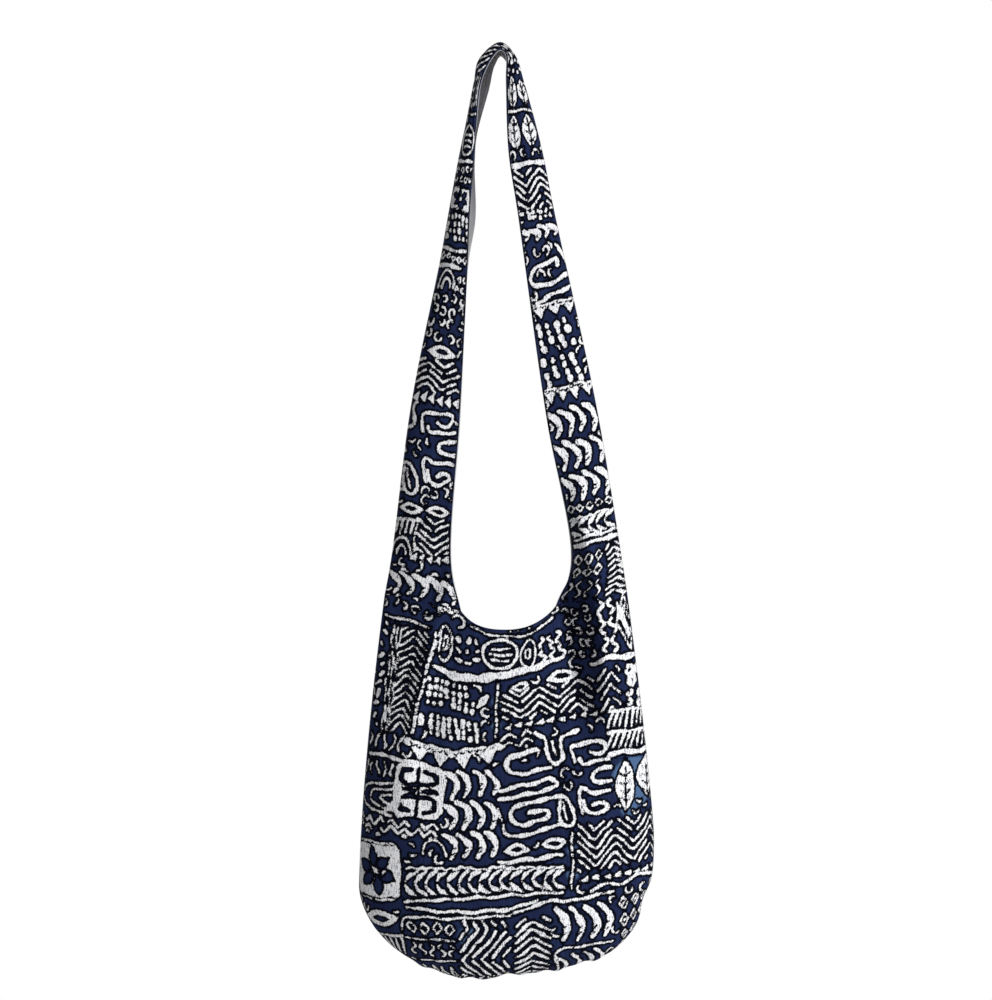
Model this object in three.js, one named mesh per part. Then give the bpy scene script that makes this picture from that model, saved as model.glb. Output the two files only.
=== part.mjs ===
// A soft hobo crossbody bag, hanging by its strap.
// Two printed cotton panels and two lining panels are each cut in one piece with half of the strap's width,
// and are sewn together along the bottom, up both sides and over the top of the strap.
// Millimetres. +X is to the right, +Y is away from the viewer and +Z is up.
// The origin is the hang point, under the fold at the top of the strap.

import * as THREE from "three";

// Overall sizes
const strapDrop = 642; // hang point to the lowest point of the mouth
const bodyHeight = 385; // lowest point of the mouth to the bottom seam
const bottomShift = -26; // lowest point of the bottom seam, from the centre line
const bottomRounding = 80; // height over which the bottom curves under
const fullestRise = 150; // bottom seam up to the level where the bag is deepest
const mouthCentre = 4; // lowest point of the mouth, from the centre line
const mouthRise = 71; // height of the U of the mouth
const mouthCorner = THREE.MathUtils.degToRad(50); // where on the U the foot of the strap begins
const strapTop = { x: -4, rise: 1.7 }; // side seam where it passes over the hang point
const strapRounding = 3.4; // exponent of the strap's section where it turns towards the side seam

// Cloth
const clothThickness = 0.8;
const liningThickness = 0.5;
const layerGap = 0.3; // between a panel and its lining
const seamGap = 0.4; // between the front and the back along the side seam

// Each side of the outline. Spans are measured outwards from the centre line.
// A strap station is one line across the strap: the side seam's span and drop below the hang point, how much
// lower the hemmed edge lies than the seam, and the span and depth of that edge on the front and on the back.
const left = {
  sign: -1,
  bodySpan: 159.5, // widest point of the body
  widestRise: 103, // bottom seam up to that point
  bottomFullness: 1.85, // exponent of the bottom corner's superellipse: 2 is an ellipse
  seamFlare: 1.5, // exponent of the side seam's curve from widest point to strap foot
  sideRounding: 2.4, // exponent of the section where it turns towards the side seam
  mouthSpan: 62, // half of the U, from its lowest point
  mouthFullness: 2.7,
  footWidth: 84.5, // strap foot, from the mouth to the side seam
  footTilt: 17, // side seam end of the strap foot above its mouth end
  endSeamSpan: 124, // side seam beside the upper end of the U
  endTilt: 7,
  stations: [
    { drop: 396, seam: 102.3, tilt: 12, front: { span: 48.4, depth: 16 }, back: { span: 48, depth: 12 } },
    { drop: 181, seam: 60.5, tilt: 7, front: { span: 37.4, depth: 23 }, back: { span: 31.5, depth: 19 } },
    { drop: 112, seam: 47.8, tilt: 4, front: { span: 32, depth: 26 }, back: { span: 30.5, depth: 21 } },
    { drop: 42, seam: 33.5, tilt: 2, front: { span: 28.5, depth: 26 }, back: { span: 17.5, depth: 22 } },
  ],
};
const right = {
  sign: 1,
  bodySpan: 165,
  widestRise: 158,
  bottomFullness: 2.8,
  seamFlare: 1.2,
  sideRounding: 3.4,
  mouthSpan: 70.5,
  mouthFullness: 2,
  footWidth: 77.5,
  footTilt: 14,
  endSeamSpan: 128.5,
  endTilt: 14,
  stations: [
    { drop: 396, seam: 101.5, tilt: 14, front: { span: 46.2, depth: 16.5 }, back: { span: 47, depth: 12 } },
    { drop: 181, seam: 55, tilt: 10, front: { span: 15.4, depth: 20 }, back: { span: 17, depth: 17 } },
    { drop: 112, seam: 41.2, tilt: 6, front: { span: 4.5, depth: 23 }, back: { span: 7.5, depth: 19 } },
    { drop: 42, seam: 22.5, tilt: 2, front: { span: 3, depth: 24 }, back: { span: 6.5, depth: 20 } },
  ],
};

// Front and back halves of the bag. The back lies flatter, and its mouth edge sits a little lower.
const front = {
  name: "front",
  sign: -1,
  depth: 48, // at the fullest level
  mouthDepth: 19, // at the mouth
  mouthDip: 0, // mouth edge below the front's
  hemDrop: 11, // strap's hemmed edge below the seam at the hang point
  hemDepth: 24, // and in front of or behind it
};
const back = { name: "back", sign: 1, depth: 32, mouthDepth: 13, mouthDip: 6, hemDrop: 9, hemDepth: 20 };

// Facets of each panel
const strapColumns = 3;
const mouthColumns = 8;
const bodyRows = 14;
const strapRows = 36;
const edgeCrowding = 0.5; // 0 spaces the body's columns evenly, 1 as a cosine that crowds them at the sides
const bodyColumns = strapColumns + mouthColumns + strapColumns;

// Levels
const mouthZ = -strapDrop;
const bottomZ = mouthZ - bodyHeight;
const mouthEndZ = mouthZ + mouthRise;

const { lerp, clamp, smoothstep } = THREE.MathUtils;

// One quarter of a superellipse: x and z share of the half axes at an angle from the lowest point.
function superellipse(angle, fullness) {
  return { x: Math.sin(angle) ** (2 / fullness), z: Math.cos(angle) ** (2 / fullness) };
}

// The U of the mouth at an angle from its lowest point, as a point in the front view.
function mouthPoint(face, angle) {
  const side = angle < 0 ? left : right;
  const share = superellipse(Math.abs(angle), side.mouthFullness);
  const x = mouthCentre + side.sign * side.mouthSpan * share.x;
  return new THREE.Vector2(x, mouthEndZ - (mouthRise + face.mouthDip) * share.z);
}

// Side seam end of the strap foot. Both faces share it, so it follows the front's mouth corner.
function footPoint(side) {
  const corner = mouthPoint(front, side.sign * mouthCorner);
  return new THREE.Vector2(corner.x + side.sign * side.footWidth, corner.y + side.footTilt);
}

// Side seam of the body at a level: a superellipse up to the widest point, then a flared curve to the foot.
function sideSeamX(side, z) {
  const widestZ = bottomZ + side.widestRise;
  if (z < widestZ) {
    const rise = clamp((widestZ - z) / side.widestRise, 0, 1);
    const share = (1 - rise ** side.bottomFullness) ** (1 / side.bottomFullness);
    return lerp(bottomShift, side.sign * side.bodySpan, share);
  }
  const foot = footPoint(side);
  const climb = (z - widestZ) / (foot.y - widestZ);
  return lerp(side.sign * side.bodySpan, foot.x, climb ** side.seamFlare);
}

// Bottom seam under a point of the width.
function bottomSeamZ(x) {
  const side = x < bottomShift ? left : right;
  const share = clamp((x - bottomShift) / (side.sign * side.bodySpan - bottomShift), 0, 1);
  return bottomZ + side.widestRise * (1 - (1 - share ** side.bottomFullness) ** (1 / side.bottomFullness));
}

// Where the bottom seam turns into the side seam.
function bottomCorner(side) {
  const share = superellipse(Math.PI / 4, side.bottomFullness);
  const x = lerp(bottomShift, side.sign * side.bodySpan, share.x);
  return new THREE.Vector2(x, bottomZ + side.widestRise * (1 - share.z));
}

// Rounded section: the share of the full depth, 0 at the side seam and 1 at the middle.
function sectionShare(rounding, fromMiddle) {
  return Math.sqrt(1 - clamp(fromMiddle, 0, 1) ** rounding);
}

// Depth of a face of the body, in front of or behind the side seam, at a point of the front view.
// The middle of the section runs from the lowest point of the bottom seam to that of the mouth.
function bodyDepth(face, x, z) {
  const towardsMouth = smoothstep(z, bottomZ + fullestRise, mouthZ);
  const middle = lerp(bottomShift, mouthCentre, towardsMouth);
  const side = x < middle ? left : right;
  const fromMiddle = (x - middle) / (sideSeamX(side, z) - middle);
  const under = 1 - clamp((z - bottomZ) / bottomRounding, 0, 1);
  const fullness = lerp(face.depth, face.mouthDepth, towardsMouth) * Math.sqrt(1 - under ** 2);
  return fullness * sectionShare(side.sideRounding, fromMiddle);
}

// The upper boundary of the body: strap foot, U of the mouth, strap foot.
function bodyTop(face, column) {
  const foot = { left: footPoint(left), right: footPoint(right) };
  if (column <= strapColumns) {
    return foot.left.lerp(mouthPoint(face, -mouthCorner), column / strapColumns);
  }
  if (column >= strapColumns + mouthColumns) {
    return foot.right.lerp(mouthPoint(face, mouthCorner), (bodyColumns - column) / strapColumns);
  }
  return mouthPoint(face, lerp(-mouthCorner, mouthCorner, (column - strapColumns) / mouthColumns));
}

// Share of the width at a column, closer together near the side seams where the section turns.
function columnShare(column) {
  const even = column / bodyColumns;
  return lerp(even, (1 - Math.cos(Math.PI * even)) / 2, edgeCrowding);
}

// A point of the body: the front view is blended between its four edges, and the section gives the depth.
function bodyPoint(face, column, row) {
  const [cornerLeft, cornerRight] = [bottomCorner(left), bottomCorner(right)];
  const u = columnShare(column);
  const v = row / bodyRows;
  const bottomX = lerp(cornerLeft.x, cornerRight.x, u);
  const bottom = new THREE.Vector2(bottomX, bottomSeamZ(bottomX));
  const top = bodyTop(face, column);
  const [topLeft, topRight] = [footPoint(left), footPoint(right)];
  const seam = (side, corner, foot) => {
    const z = lerp(corner.y, foot.y, v);
    return new THREE.Vector2(sideSeamX(side, z), z);
  };
  const across = seam(left, cornerLeft, topLeft).lerp(seam(right, cornerRight, topRight), u);
  const along = bottom.lerp(top, v);
  const corners = cornerLeft.lerp(cornerRight, u).lerp(topLeft.lerp(topRight, u), v);
  const point = across.add(along).sub(corners);
  const onSeam = row === 0 || column === 0 || column === bodyColumns;
  const depth = onSeam ? 0 : bodyDepth(face, point.x, point.y);
  return new THREE.Vector3(point.x, face.sign * (depth + seamGap / 2), point.y);
}

// Side seam and hemmed edge of one face of the strap, from the left foot over the top to the right foot.
function strapEdges(face) {
  const seam = [];
  const hem = [];
  const add = (seamX, seamZ, hemX, hemZ, depth) => {
    seam.push(new THREE.Vector3(seamX, 0, seamZ));
    hem.push(new THREE.Vector3(hemX, face.sign * depth, hemZ));
  };
  const addFoot = (side) => {
    const foot = footPoint(side);
    const corner = mouthPoint(face, side.sign * mouthCorner);
    add(foot.x, foot.y, corner.x, corner.y, bodyDepth(face, corner.x, corner.y));
  };
  const addMouthEnd = (side) => {
    const end = mouthPoint(face, (side.sign * Math.PI) / 2);
    add(side.sign * side.endSeamSpan, end.y + side.endTilt, end.x, end.y, face.mouthDepth);
  };
  const addStation = (side, { drop, seam: span, tilt, [face.name]: edge }) => {
    add(side.sign * span, -drop, side.sign * edge.span, -drop - tilt, edge.depth);
  };
  addFoot(left);
  addMouthEnd(left);
  left.stations.forEach((station) => addStation(left, station));
  add(strapTop.x, strapTop.rise, strapTop.x, strapTop.rise - face.hemDrop, face.hemDepth);
  right.stations.toReversed().forEach((station) => addStation(right, station));
  addMouthEnd(right);
  addFoot(right);
  return { seam: new THREE.CatmullRomCurve3(seam), hem: new THREE.CatmullRomCurve3(hem) };
}

// A point of the strap: across from the side seam to the hemmed edge, along from the left foot to the right.
function strapPoint(face, edges, column, row) {
  const along = row / strapRows;
  const across = column / strapColumns;
  const seam = edges.seam.getPoint(along);
  const hem = edges.hem.getPoint(along);
  const point = seam.lerp(hem, across);
  const section = sectionShare(strapRounding, 1 - across);
  point.y = hem.y * section + (face.sign * seamGap) / 2;
  return point;
}

// Outer surface of one panel as welded points and triangles, with the points that lie on its seam.
function panelSurface(face) {
  const points = [];
  const body = [];
  for (let row = 0; row <= bodyRows; row++) {
    body.push([]);
    for (let column = 0; column <= bodyColumns; column++) {
      body[row].push(points.push(bodyPoint(face, column, row)) - 1);
    }
  }
  const edges = strapEdges(face);
  const strap = [body[bodyRows].slice(0, strapColumns + 1)];
  for (let row = 1; row < strapRows; row++) {
    strap.push([]);
    for (let column = 0; column <= strapColumns; column++) {
      strap[row].push(points.push(strapPoint(face, edges, column, row)) - 1);
    }
  }
  strap.push(body[bodyRows].slice(bodyColumns - strapColumns).toReversed());
  const triangles = [];
  for (const grid of [body, strap]) {
    for (let row = 0; row + 1 < grid.length; row++) {
      for (let column = 0; column + 1 < grid[row].length; column++) {
        const [a, b] = grid[row].slice(column, column + 2);
        const [d, c] = grid[row + 1].slice(column, column + 2);
        const rightHalf = column >= bodyColumns / 2;
        // Each half is split along diagonals that leave no flat triangle in its bottom corner.
        triangles.push(...(rightHalf ? [[a, b, d], [b, c, d]] : [[a, b, c], [a, c, d]]));
      }
    }
  }
  if (face === back) triangles.forEach((triangle) => triangle.reverse());
  return { points, triangles, seam: new Set(seamEdge(body, strap)) };
}

// Points of the side and bottom seams.
function seamEdge(body, strap) {
  const sides = body.flatMap((row) => [row[0], row[bodyColumns]]);
  return [...body[0], ...sides, ...strap.map((row) => row[0])];
}

// Outward direction at each point. Along the seam it stays in the plane between front and back.
function outwardDirections({ points, triangles, seam }) {
  const outward = points.map(() => new THREE.Vector3());
  for (const [a, b, c] of triangles) {
    const edge = points[b].clone().sub(points[a]);
    const normal = edge.cross(points[c].clone().sub(points[a]));
    [a, b, c].forEach((corner) => outward[corner].add(normal));
  }
  outward.forEach((direction, index) => {
    if (seam.has(index)) direction.y = 0;
    direction.normalize();
  });
  return outward;
}

// Edges used by one triangle only, in that triangle's direction.
function rimEdges(triangles) {
  const open = new Map();
  for (const [a, b, c] of triangles) {
    for (const [from, to] of [[a, b], [b, c], [c, a]]) {
      if (!open.delete(`${to},${from}`)) open.set(`${from},${to}`, [from, to]);
    }
  }
  return [...open.values()];
}

// A sheet of cloth of constant thickness whose outer side lies at a depth under the panel's outer surface.
function clothSheet(surface, outward, depth, thickness) {
  const count = surface.points.length;
  const layer = (offset) => surface.points.map((point, index) => {
    return point.clone().addScaledVector(outward[index], -offset);
  });
  const corners = [...layer(depth), ...layer(depth + thickness)];
  const outside = surface.triangles;
  const inside = outside.map(([a, b, c]) => [a + count, c + count, b + count]);
  const rim = rimEdges(outside).flatMap(([a, b]) => [[a, a + count, b + count], [a, b + count, b]]);
  const geometry = new THREE.BufferGeometry().setFromPoints(corners);
  geometry.setIndex([...outside, ...inside, ...rim].flat());
  geometry.computeVertexNormals();
  return geometry;
}

function printedCotton() {
  return new THREE.MeshStandardMaterial({ color: 0x2b3658, roughness: 0.9, metalness: 0 });
}

function greyLining() {
  return new THREE.MeshStandardMaterial({ color: 0x8e8e92, roughness: 0.95, metalness: 0 });
}

function addMesh(group, name, geometry, material) {
  const mesh = new THREE.Mesh(geometry, material);
  mesh.name = name;
  group.add(mesh);
}

const bag = new THREE.Group();
for (const face of [front, back]) {
  const surface = panelSurface(face);
  const outward = outwardDirections(surface);
  const panel = clothSheet(surface, outward, 0, clothThickness);
  const lining = clothSheet(surface, outward, clothThickness + layerGap, liningThickness);
  addMesh(bag, `${face.name}_panel`, panel, printedCotton());
  addMesh(bag, `${face.name}_lining`, lining, greyLining());
}

export default bag;
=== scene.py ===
# %% [markdown]
# # A crossbody bag of printed cotton
# The bag is a soft hobo sling: a front and a back panel of indigo printed cotton, each cut in one piece
# with half of the shoulder strap, and a grey lining behind each. It hangs by the strap, so the cloth falls
# into a long loop with a sagging pouch under it. The CAD model gives the hanging shape in coarse facets.
# This lesson repeats its formulas at a fine spacing, adds the folds, hems and thread that CAD leaves out,
# and draws the print.

# %% Load the CAD frame
from types import SimpleNamespace as Sizes

import bpy
import numpy as np
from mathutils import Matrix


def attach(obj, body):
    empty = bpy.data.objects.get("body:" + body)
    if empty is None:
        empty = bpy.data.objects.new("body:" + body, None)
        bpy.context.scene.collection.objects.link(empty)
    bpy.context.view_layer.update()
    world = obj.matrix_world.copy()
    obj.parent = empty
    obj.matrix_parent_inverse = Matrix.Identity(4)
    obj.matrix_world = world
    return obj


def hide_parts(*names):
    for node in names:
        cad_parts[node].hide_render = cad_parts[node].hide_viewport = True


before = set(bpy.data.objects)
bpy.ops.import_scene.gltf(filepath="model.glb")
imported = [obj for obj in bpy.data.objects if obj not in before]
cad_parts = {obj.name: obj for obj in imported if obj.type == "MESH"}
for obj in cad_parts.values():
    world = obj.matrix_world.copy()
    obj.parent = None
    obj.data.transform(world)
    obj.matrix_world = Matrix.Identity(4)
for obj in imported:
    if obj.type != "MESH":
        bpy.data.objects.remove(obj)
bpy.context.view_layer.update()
print("CAD nodes:", sorted(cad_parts))

# %% [markdown]
# ## The camera
# The photograph looks straight at the front of the bag. One pixel covers 1.1 mm of the plane of the side
# seams, and the hang point is the origin, so the middle of the picture is a known point of that plane. A
# level camera in front of that point, with a lens that fits the picture's height, gives the same framing.

# %% Camera at the photograph's angle
MM = 0.001
PIXEL = 1.1
PHOTO = (992, 1000)
HANG_PIXEL = (504, 45)
CAMERA_DISTANCE = 2.6
SENSOR = 36.0


def seen(px, py):
    """Front view x and z in mm of a pixel of the photograph, on the plane of the side seams."""
    return (np.asarray(px) - HANG_PIXEL[0]) * PIXEL, (HANG_PIXEL[1] - np.asarray(py)) * PIXEL


middle_x, middle_z = seen(PHOTO[0] / 2, PHOTO[1] / 2)
camera = bpy.data.objects.new("camera", bpy.data.cameras.new("camera"))
camera.data.sensor_width = SENSOR
camera.data.lens = SENSOR * CAMERA_DISTANCE / (PHOTO[1] * PIXEL * MM)
camera.location = (middle_x * MM, -CAMERA_DISTANCE, middle_z * MM)
camera.rotation_euler = (np.pi / 2, 0, 0)
bpy.context.scene.collection.objects.link(camera)
bpy.context.scene.camera = camera
print("lens", round(camera.data.lens, 1), "mm")

# %% [markdown]
# ## The sizes of the bag
# These are the driving sizes of the CAD model, in millimetres. The spans are measured outwards from the
# centre line and the drops down from the hang point, as one would measure the hanging bag with a tape. Each
# strap station is one line across the strap: drop, span of the seam, tilt, then span and depth of the hem
# in front and behind. A few stations more than the CAD model has let the lining show where the photograph
# shows it, and the dent and the crumple of the seams are added here too.

# %% Sizes in millimetres
MOUTH_Z = -642.0
BOTTOM_Z = -1027.0
MOUTH_END_Z = -571.0
BOTTOM_SHIFT = -26.0
BOTTOM_ROUNDING = 80.0
FULLEST_RISE = 150.0
DENT_Z = -940.0
DENT_WIDTH = 16.0
CRUMPLE_LIFT = 4.6
CRUMPLE_SPAN = (-22.0, 112.0)
CRUMPLE_EDGE = 26.0
CRUMPLE_HOLD = 14.0
CRUMPLE_RISE = 40.0
CRUMPLE_FADE = 120.0
MOUTH_CENTRE = 4.0
MOUTH_CORNER = np.radians(50)
STRAP_TOP = (-4.0, 1.7)
STRAP_ROUNDING = 3.4
CLOTH = 0.8
LAYER_GAP = 0.3
LINING = 0.5
SEAM_GAP = 0.15

LEFT = Sizes(
    sign=-1, body_span=159.5, widest_rise=103, bottom_fullness=1.85, seam_flare=1.5, side_rounding=2.4,
    mouth_span=62, mouth_fullness=2.7, foot_width=84.5, foot_tilt=17, end_seam_span=124, end_tilt=7,
    seam_dent=0,
    stations=[
        (396, 102.3, 12, (48.4, 16), (48, 12)),
        (232, 69.5, 8, (39.6, 20.5), (39.4, 16.5)),
        (181, 60.5, 7, (37.4, 23), (31.5, 19)),
        (124, 50, 4.5, (32.8, 25.5), (32.4, 20.5)),
        (88, 42.5, 3.5, (30.5, 26), (29.5, 21)),
        (42, 33.5, 2, (25.5, 26), (17.5, 22)),
        (17, 28, 1.5, (13.5, 26), (11.5, 22)),
    ],
)
RIGHT = Sizes(
    sign=1, body_span=165, widest_rise=158, bottom_fullness=2.8, seam_flare=1.2, side_rounding=3.4,
    mouth_span=70.5, mouth_fullness=2, foot_width=77.5, foot_tilt=14, end_seam_span=128.5, end_tilt=14,
    seam_dent=5,
    stations=[
        (396, 101.5, 14, (46.2, 16.5), (47, 12)),
        (181, 55, 10, (15.4, 20), (17, 17)),
        (112, 41.2, 6, (4.5, 23), (7.5, 19)),
        (42, 22.5, 2, (3, 24), (6.5, 20)),
        (13, 12.8, 1, (2.2, 24), (3.6, 20)),
    ],
)
FRONT = Sizes(name="front", sign=-1, edge=0, depth=48, mouth_depth=19, mouth_dip=0, hem_drop=11, hem_depth=24)
BACK = Sizes(name="back", sign=1, edge=1, depth=32, mouth_depth=13, mouth_dip=6, hem_drop=9, hem_depth=20)

# %% [markdown]
# ## The outline in the front view
# The bag's outline is sewn from a few plain curves. The mouth is a U, the bottom corners are quarters of a
# superellipse, which is an ellipse whose exponent makes it fuller or flatter, and the side seams flare from
# the widest point up to the foot of the strap. Each curve is one function that takes whole arrays.


# %% Outline curves
def lerp(a, b, t):
    """A straight blend from a at t = 0 to b at t = 1."""
    return a + (b - a) * t


def smooth(t):
    """An S-shaped rise from 0 at t = 0 to 1 at t = 1."""
    t = np.clip(t, 0, 1)
    return t * t * (3 - 2 * t)


def bump(t):
    """A bell of height 1 at t = 0."""
    return np.exp(-t * t)


def run_along(path):
    """Length of a path from its start to each of its points."""
    steps = np.linalg.norm(np.diff(path, axis=0), axis=1)
    return np.concatenate([[0], np.cumsum(steps)])


def mouth_point(face, angle):
    """The U of the mouth: a superellipse by the angle from its lowest point, one exponent a side."""
    right = angle >= 0
    power = 2 / np.where(right, RIGHT.mouth_fullness, LEFT.mouth_fullness)
    span = np.where(right, RIGHT.mouth_span, -LEFT.mouth_span)
    x = MOUTH_CENTRE + span * np.abs(np.sin(angle)) ** power
    rise = MOUTH_END_Z - MOUTH_Z + face.mouth_dip
    return x, MOUTH_END_Z - rise * np.clip(np.cos(angle), 0, 1) ** power


def foot_point(side):
    """Side seam end of the strap foot, measured from the front's mouth corner."""
    x, z = mouth_point(FRONT, np.array(side.sign * MOUTH_CORNER))
    return float(x) + side.sign * side.foot_width, float(z) + side.foot_tilt


def side_seam_x(side, z):
    """Side seam at a level: a superellipse, from the widest point a power curve, and a bell for the dent."""
    widest_z = BOTTOM_Z + side.widest_rise
    n = side.bottom_fullness
    rise = np.clip((widest_z - z) / side.widest_rise, 0, 1)
    low = lerp(BOTTOM_SHIFT, side.sign * side.body_span, (1 - rise ** n) ** (1 / n))
    foot_x, foot_z = foot_point(side)
    climb = np.clip((z - widest_z) / (foot_z - widest_z), 0, None)
    high = lerp(side.sign * side.body_span, foot_x, climb ** side.seam_flare)
    dent = side.seam_dent * bump((z - DENT_Z) / DENT_WIDTH)
    return np.where(z < widest_z, low, high) - side.sign * dent


def bottom_crumple(x):
    """How far the bottom seam strays from its curve: raised right of the middle, and uneven all along."""
    left, right = bottom_corner(LEFT)[0], bottom_corner(RIGHT)[0]
    held = smooth((x - left) / CRUMPLE_HOLD) * smooth((right - x) / CRUMPLE_HOLD)
    start, stop = CRUMPLE_SPAN
    raised = CRUMPLE_LIFT * smooth((x - start) / CRUMPLE_EDGE) * smooth((stop - x) / CRUMPLE_EDGE)
    return held * (raised + 0.9 * np.sin(x / 6.1 + 1.0) + 0.6 * np.sin(x / 3.3))


def bottom_seam_z(x):
    """Bottom seam under a point of the width: the same superellipses, read the other way, and crumpled."""
    left = x < BOTTOM_SHIFT
    n = np.where(left, LEFT.bottom_fullness, RIGHT.bottom_fullness)
    reach = np.where(left, -LEFT.body_span, RIGHT.body_span) - BOTTOM_SHIFT
    rise = np.where(left, LEFT.widest_rise, RIGHT.widest_rise)
    share = np.clip((x - BOTTOM_SHIFT) / reach, 0, 1)
    return BOTTOM_Z + rise * (1 - (1 - share ** n) ** (1 / n)) + bottom_crumple(x)


def bottom_corner(side):
    """Where the bottom seam turns into the side seam: the superellipse at 45 degrees."""
    share = np.sqrt(0.5) ** (2 / side.bottom_fullness)
    x = lerp(BOTTOM_SHIFT, side.sign * side.body_span, share)
    return x, BOTTOM_Z + side.widest_rise * (1 - share)


print("strap feet at", [tuple(round(c, 1) for c in foot_point(side)) for side in (LEFT, RIGHT)])

# %% [markdown]
# ## How far the cloth stands out
# Seen from above, each face of the bag is a rounded section: flat in the middle and turning towards the
# side seam. The bag is fullest a hand's width above its bottom, and flattens towards the mouth. The
# function gives the depth in front of the seams for any point of the front view.


# %% Depth of the body
def section_share(rounding, from_middle):
    """Share of the full depth: the square root of one minus a power, 1 at the middle and 0 at the seam."""
    return np.sqrt(1 - np.clip(from_middle, 0, 1) ** rounding)


def body_depth(face, x, z):
    """Depth of the body in mm: fullness of the level times the rounded section across it.

    Near the bottom the level is counted from the crumpled seam.
    """
    z = z - bottom_crumple(x) * (1 - smooth((z - BOTTOM_Z - CRUMPLE_RISE) / CRUMPLE_FADE))
    towards_mouth = smooth((z - BOTTOM_Z - FULLEST_RISE) / (MOUTH_Z - BOTTOM_Z - FULLEST_RISE))
    middle = lerp(BOTTOM_SHIFT, MOUTH_CENTRE, towards_mouth)
    left = x < middle
    seam_x = np.where(left, side_seam_x(LEFT, z), side_seam_x(RIGHT, z))
    reach = np.where(np.abs(seam_x - middle) < 1e-6, 1e-6, seam_x - middle)
    rounding = np.where(left, LEFT.side_rounding, RIGHT.side_rounding)
    under = 1 - np.clip((z - BOTTOM_Z) / BOTTOM_ROUNDING, 0, 1)
    fullness = lerp(face.depth, face.mouth_depth, towards_mouth) * np.sqrt(1 - under ** 2)
    return fullness * section_share(rounding, (x - middle) / reach)


# %% [markdown]
# ## The grids
# Each panel is two grids that share an edge: the body, and the strap from the left foot over the top to the
# right foot. The body's front view is a Coons patch, which blends four boundary curves: bottom, two sides
# and top. A cloth simulation could drape it too, but the drape is known from the photograph, so a formula
# keeps it exact. Spacing is about 2 mm, because the edges of the print are carried by the grid's points.

# %% Body grid
STRAP_COLUMNS = 42
MOUTH_COLUMNS = 112
BODY_COLUMNS = 2 * STRAP_COLUMNS + MOUTH_COLUMNS
BODY_ROWS = 220
STRAP_ROWS = 680
EDGE_CROWDING = 0.5
FOOT_BLEND = 90.0
FOOT_EASE = 45.0


def body_top(face):
    """Top edge of the body as x and z: strap foot, U of the mouth, strap foot, each in even steps."""
    angle = np.linspace(-MOUTH_CORNER, MOUTH_CORNER, MOUTH_COLUMNS + 1)
    mouth = np.stack(mouth_point(face, angle), -1)
    step = np.linspace(0, 1, STRAP_COLUMNS + 1)[:-1, None]
    left = lerp(np.array(foot_point(LEFT)), mouth[0], step)
    right = lerp(np.array(foot_point(RIGHT)), mouth[-1], step)
    return np.concatenate([left, mouth, right[::-1]])


def body_plan(face):
    """Front view of the body's grid: sides blended across, plus bottom and top along, minus corners."""
    even = np.linspace(0, 1, BODY_COLUMNS + 1)
    u = lerp(even, (1 - np.cos(np.pi * even)) / 2, EDGE_CROWDING)[None, :, None]
    v = np.linspace(0, 1, BODY_ROWS + 1)[:, None, None]
    corners = [np.array(bottom_corner(side)) for side in (LEFT, RIGHT)]
    feet = [np.array(foot_point(side)) for side in (LEFT, RIGHT)]
    bottom_x = lerp(corners[0][0], corners[1][0], u[..., 0])
    bottom = np.stack([bottom_x, bottom_seam_z(bottom_x)], -1)
    sides = []
    for side, corner, foot in zip((LEFT, RIGHT), corners, feet):
        z = lerp(corner[1], foot[1], v[..., 0])
        sides.append(np.stack([side_seam_x(side, z), z], -1))
    across = lerp(sides[0], sides[1], u)
    along = lerp(bottom, body_top(face)[None], v)
    return across + along - lerp(lerp(corners[0], corners[1], u), lerp(feet[0], feet[1], u), v)


plan = body_plan(FRONT)
print("body grid", plan.shape[:2], "points")

# %% [markdown]
# ## The strap
# The strap's two edges are smooth curves through the stations, the same centripetal Catmull-Rom curves that
# the CAD model uses. Between them the cloth runs straight in the front view and turns over towards the side
# seam. Rows are spaced evenly along the strap, so that the print isn't squeezed.


# %% Strap grid
def catmull_rom(points, t):
    """Smooth curve through points at parameters 0 to 1, knots spaced by the root of the distances."""
    ends = [2 * points[:1] - points[1:2], points, 2 * points[-1:] - points[-2:-1]]
    p = np.concatenate(ends)
    index = np.minimum((t * (len(points) - 1)).astype(int), len(points) - 2)
    w = (t * (len(points) - 1) - index)[:, None]
    p0, p1, p2, p3 = (p[index + k] for k in range(4))
    steps = ((p0, p1), (p1, p2), (p2, p3))
    d0, d1, d2 = (np.sqrt(np.linalg.norm(b - a, axis=1))[:, None] for a, b in steps)
    t1 = ((p1 - p0) / d0 - (p2 - p0) / (d0 + d1) + (p2 - p1) / d1) * d1
    t2 = ((p2 - p1) / d1 - (p3 - p1) / (d1 + d2) + (p3 - p2) / d2) * d1
    return p1 + t1 * w + (3 * (p2 - p1) - 2 * t1 - t2) * w ** 2 + (2 * (p1 - p2) + t1 + t2) * w ** 3


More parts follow.
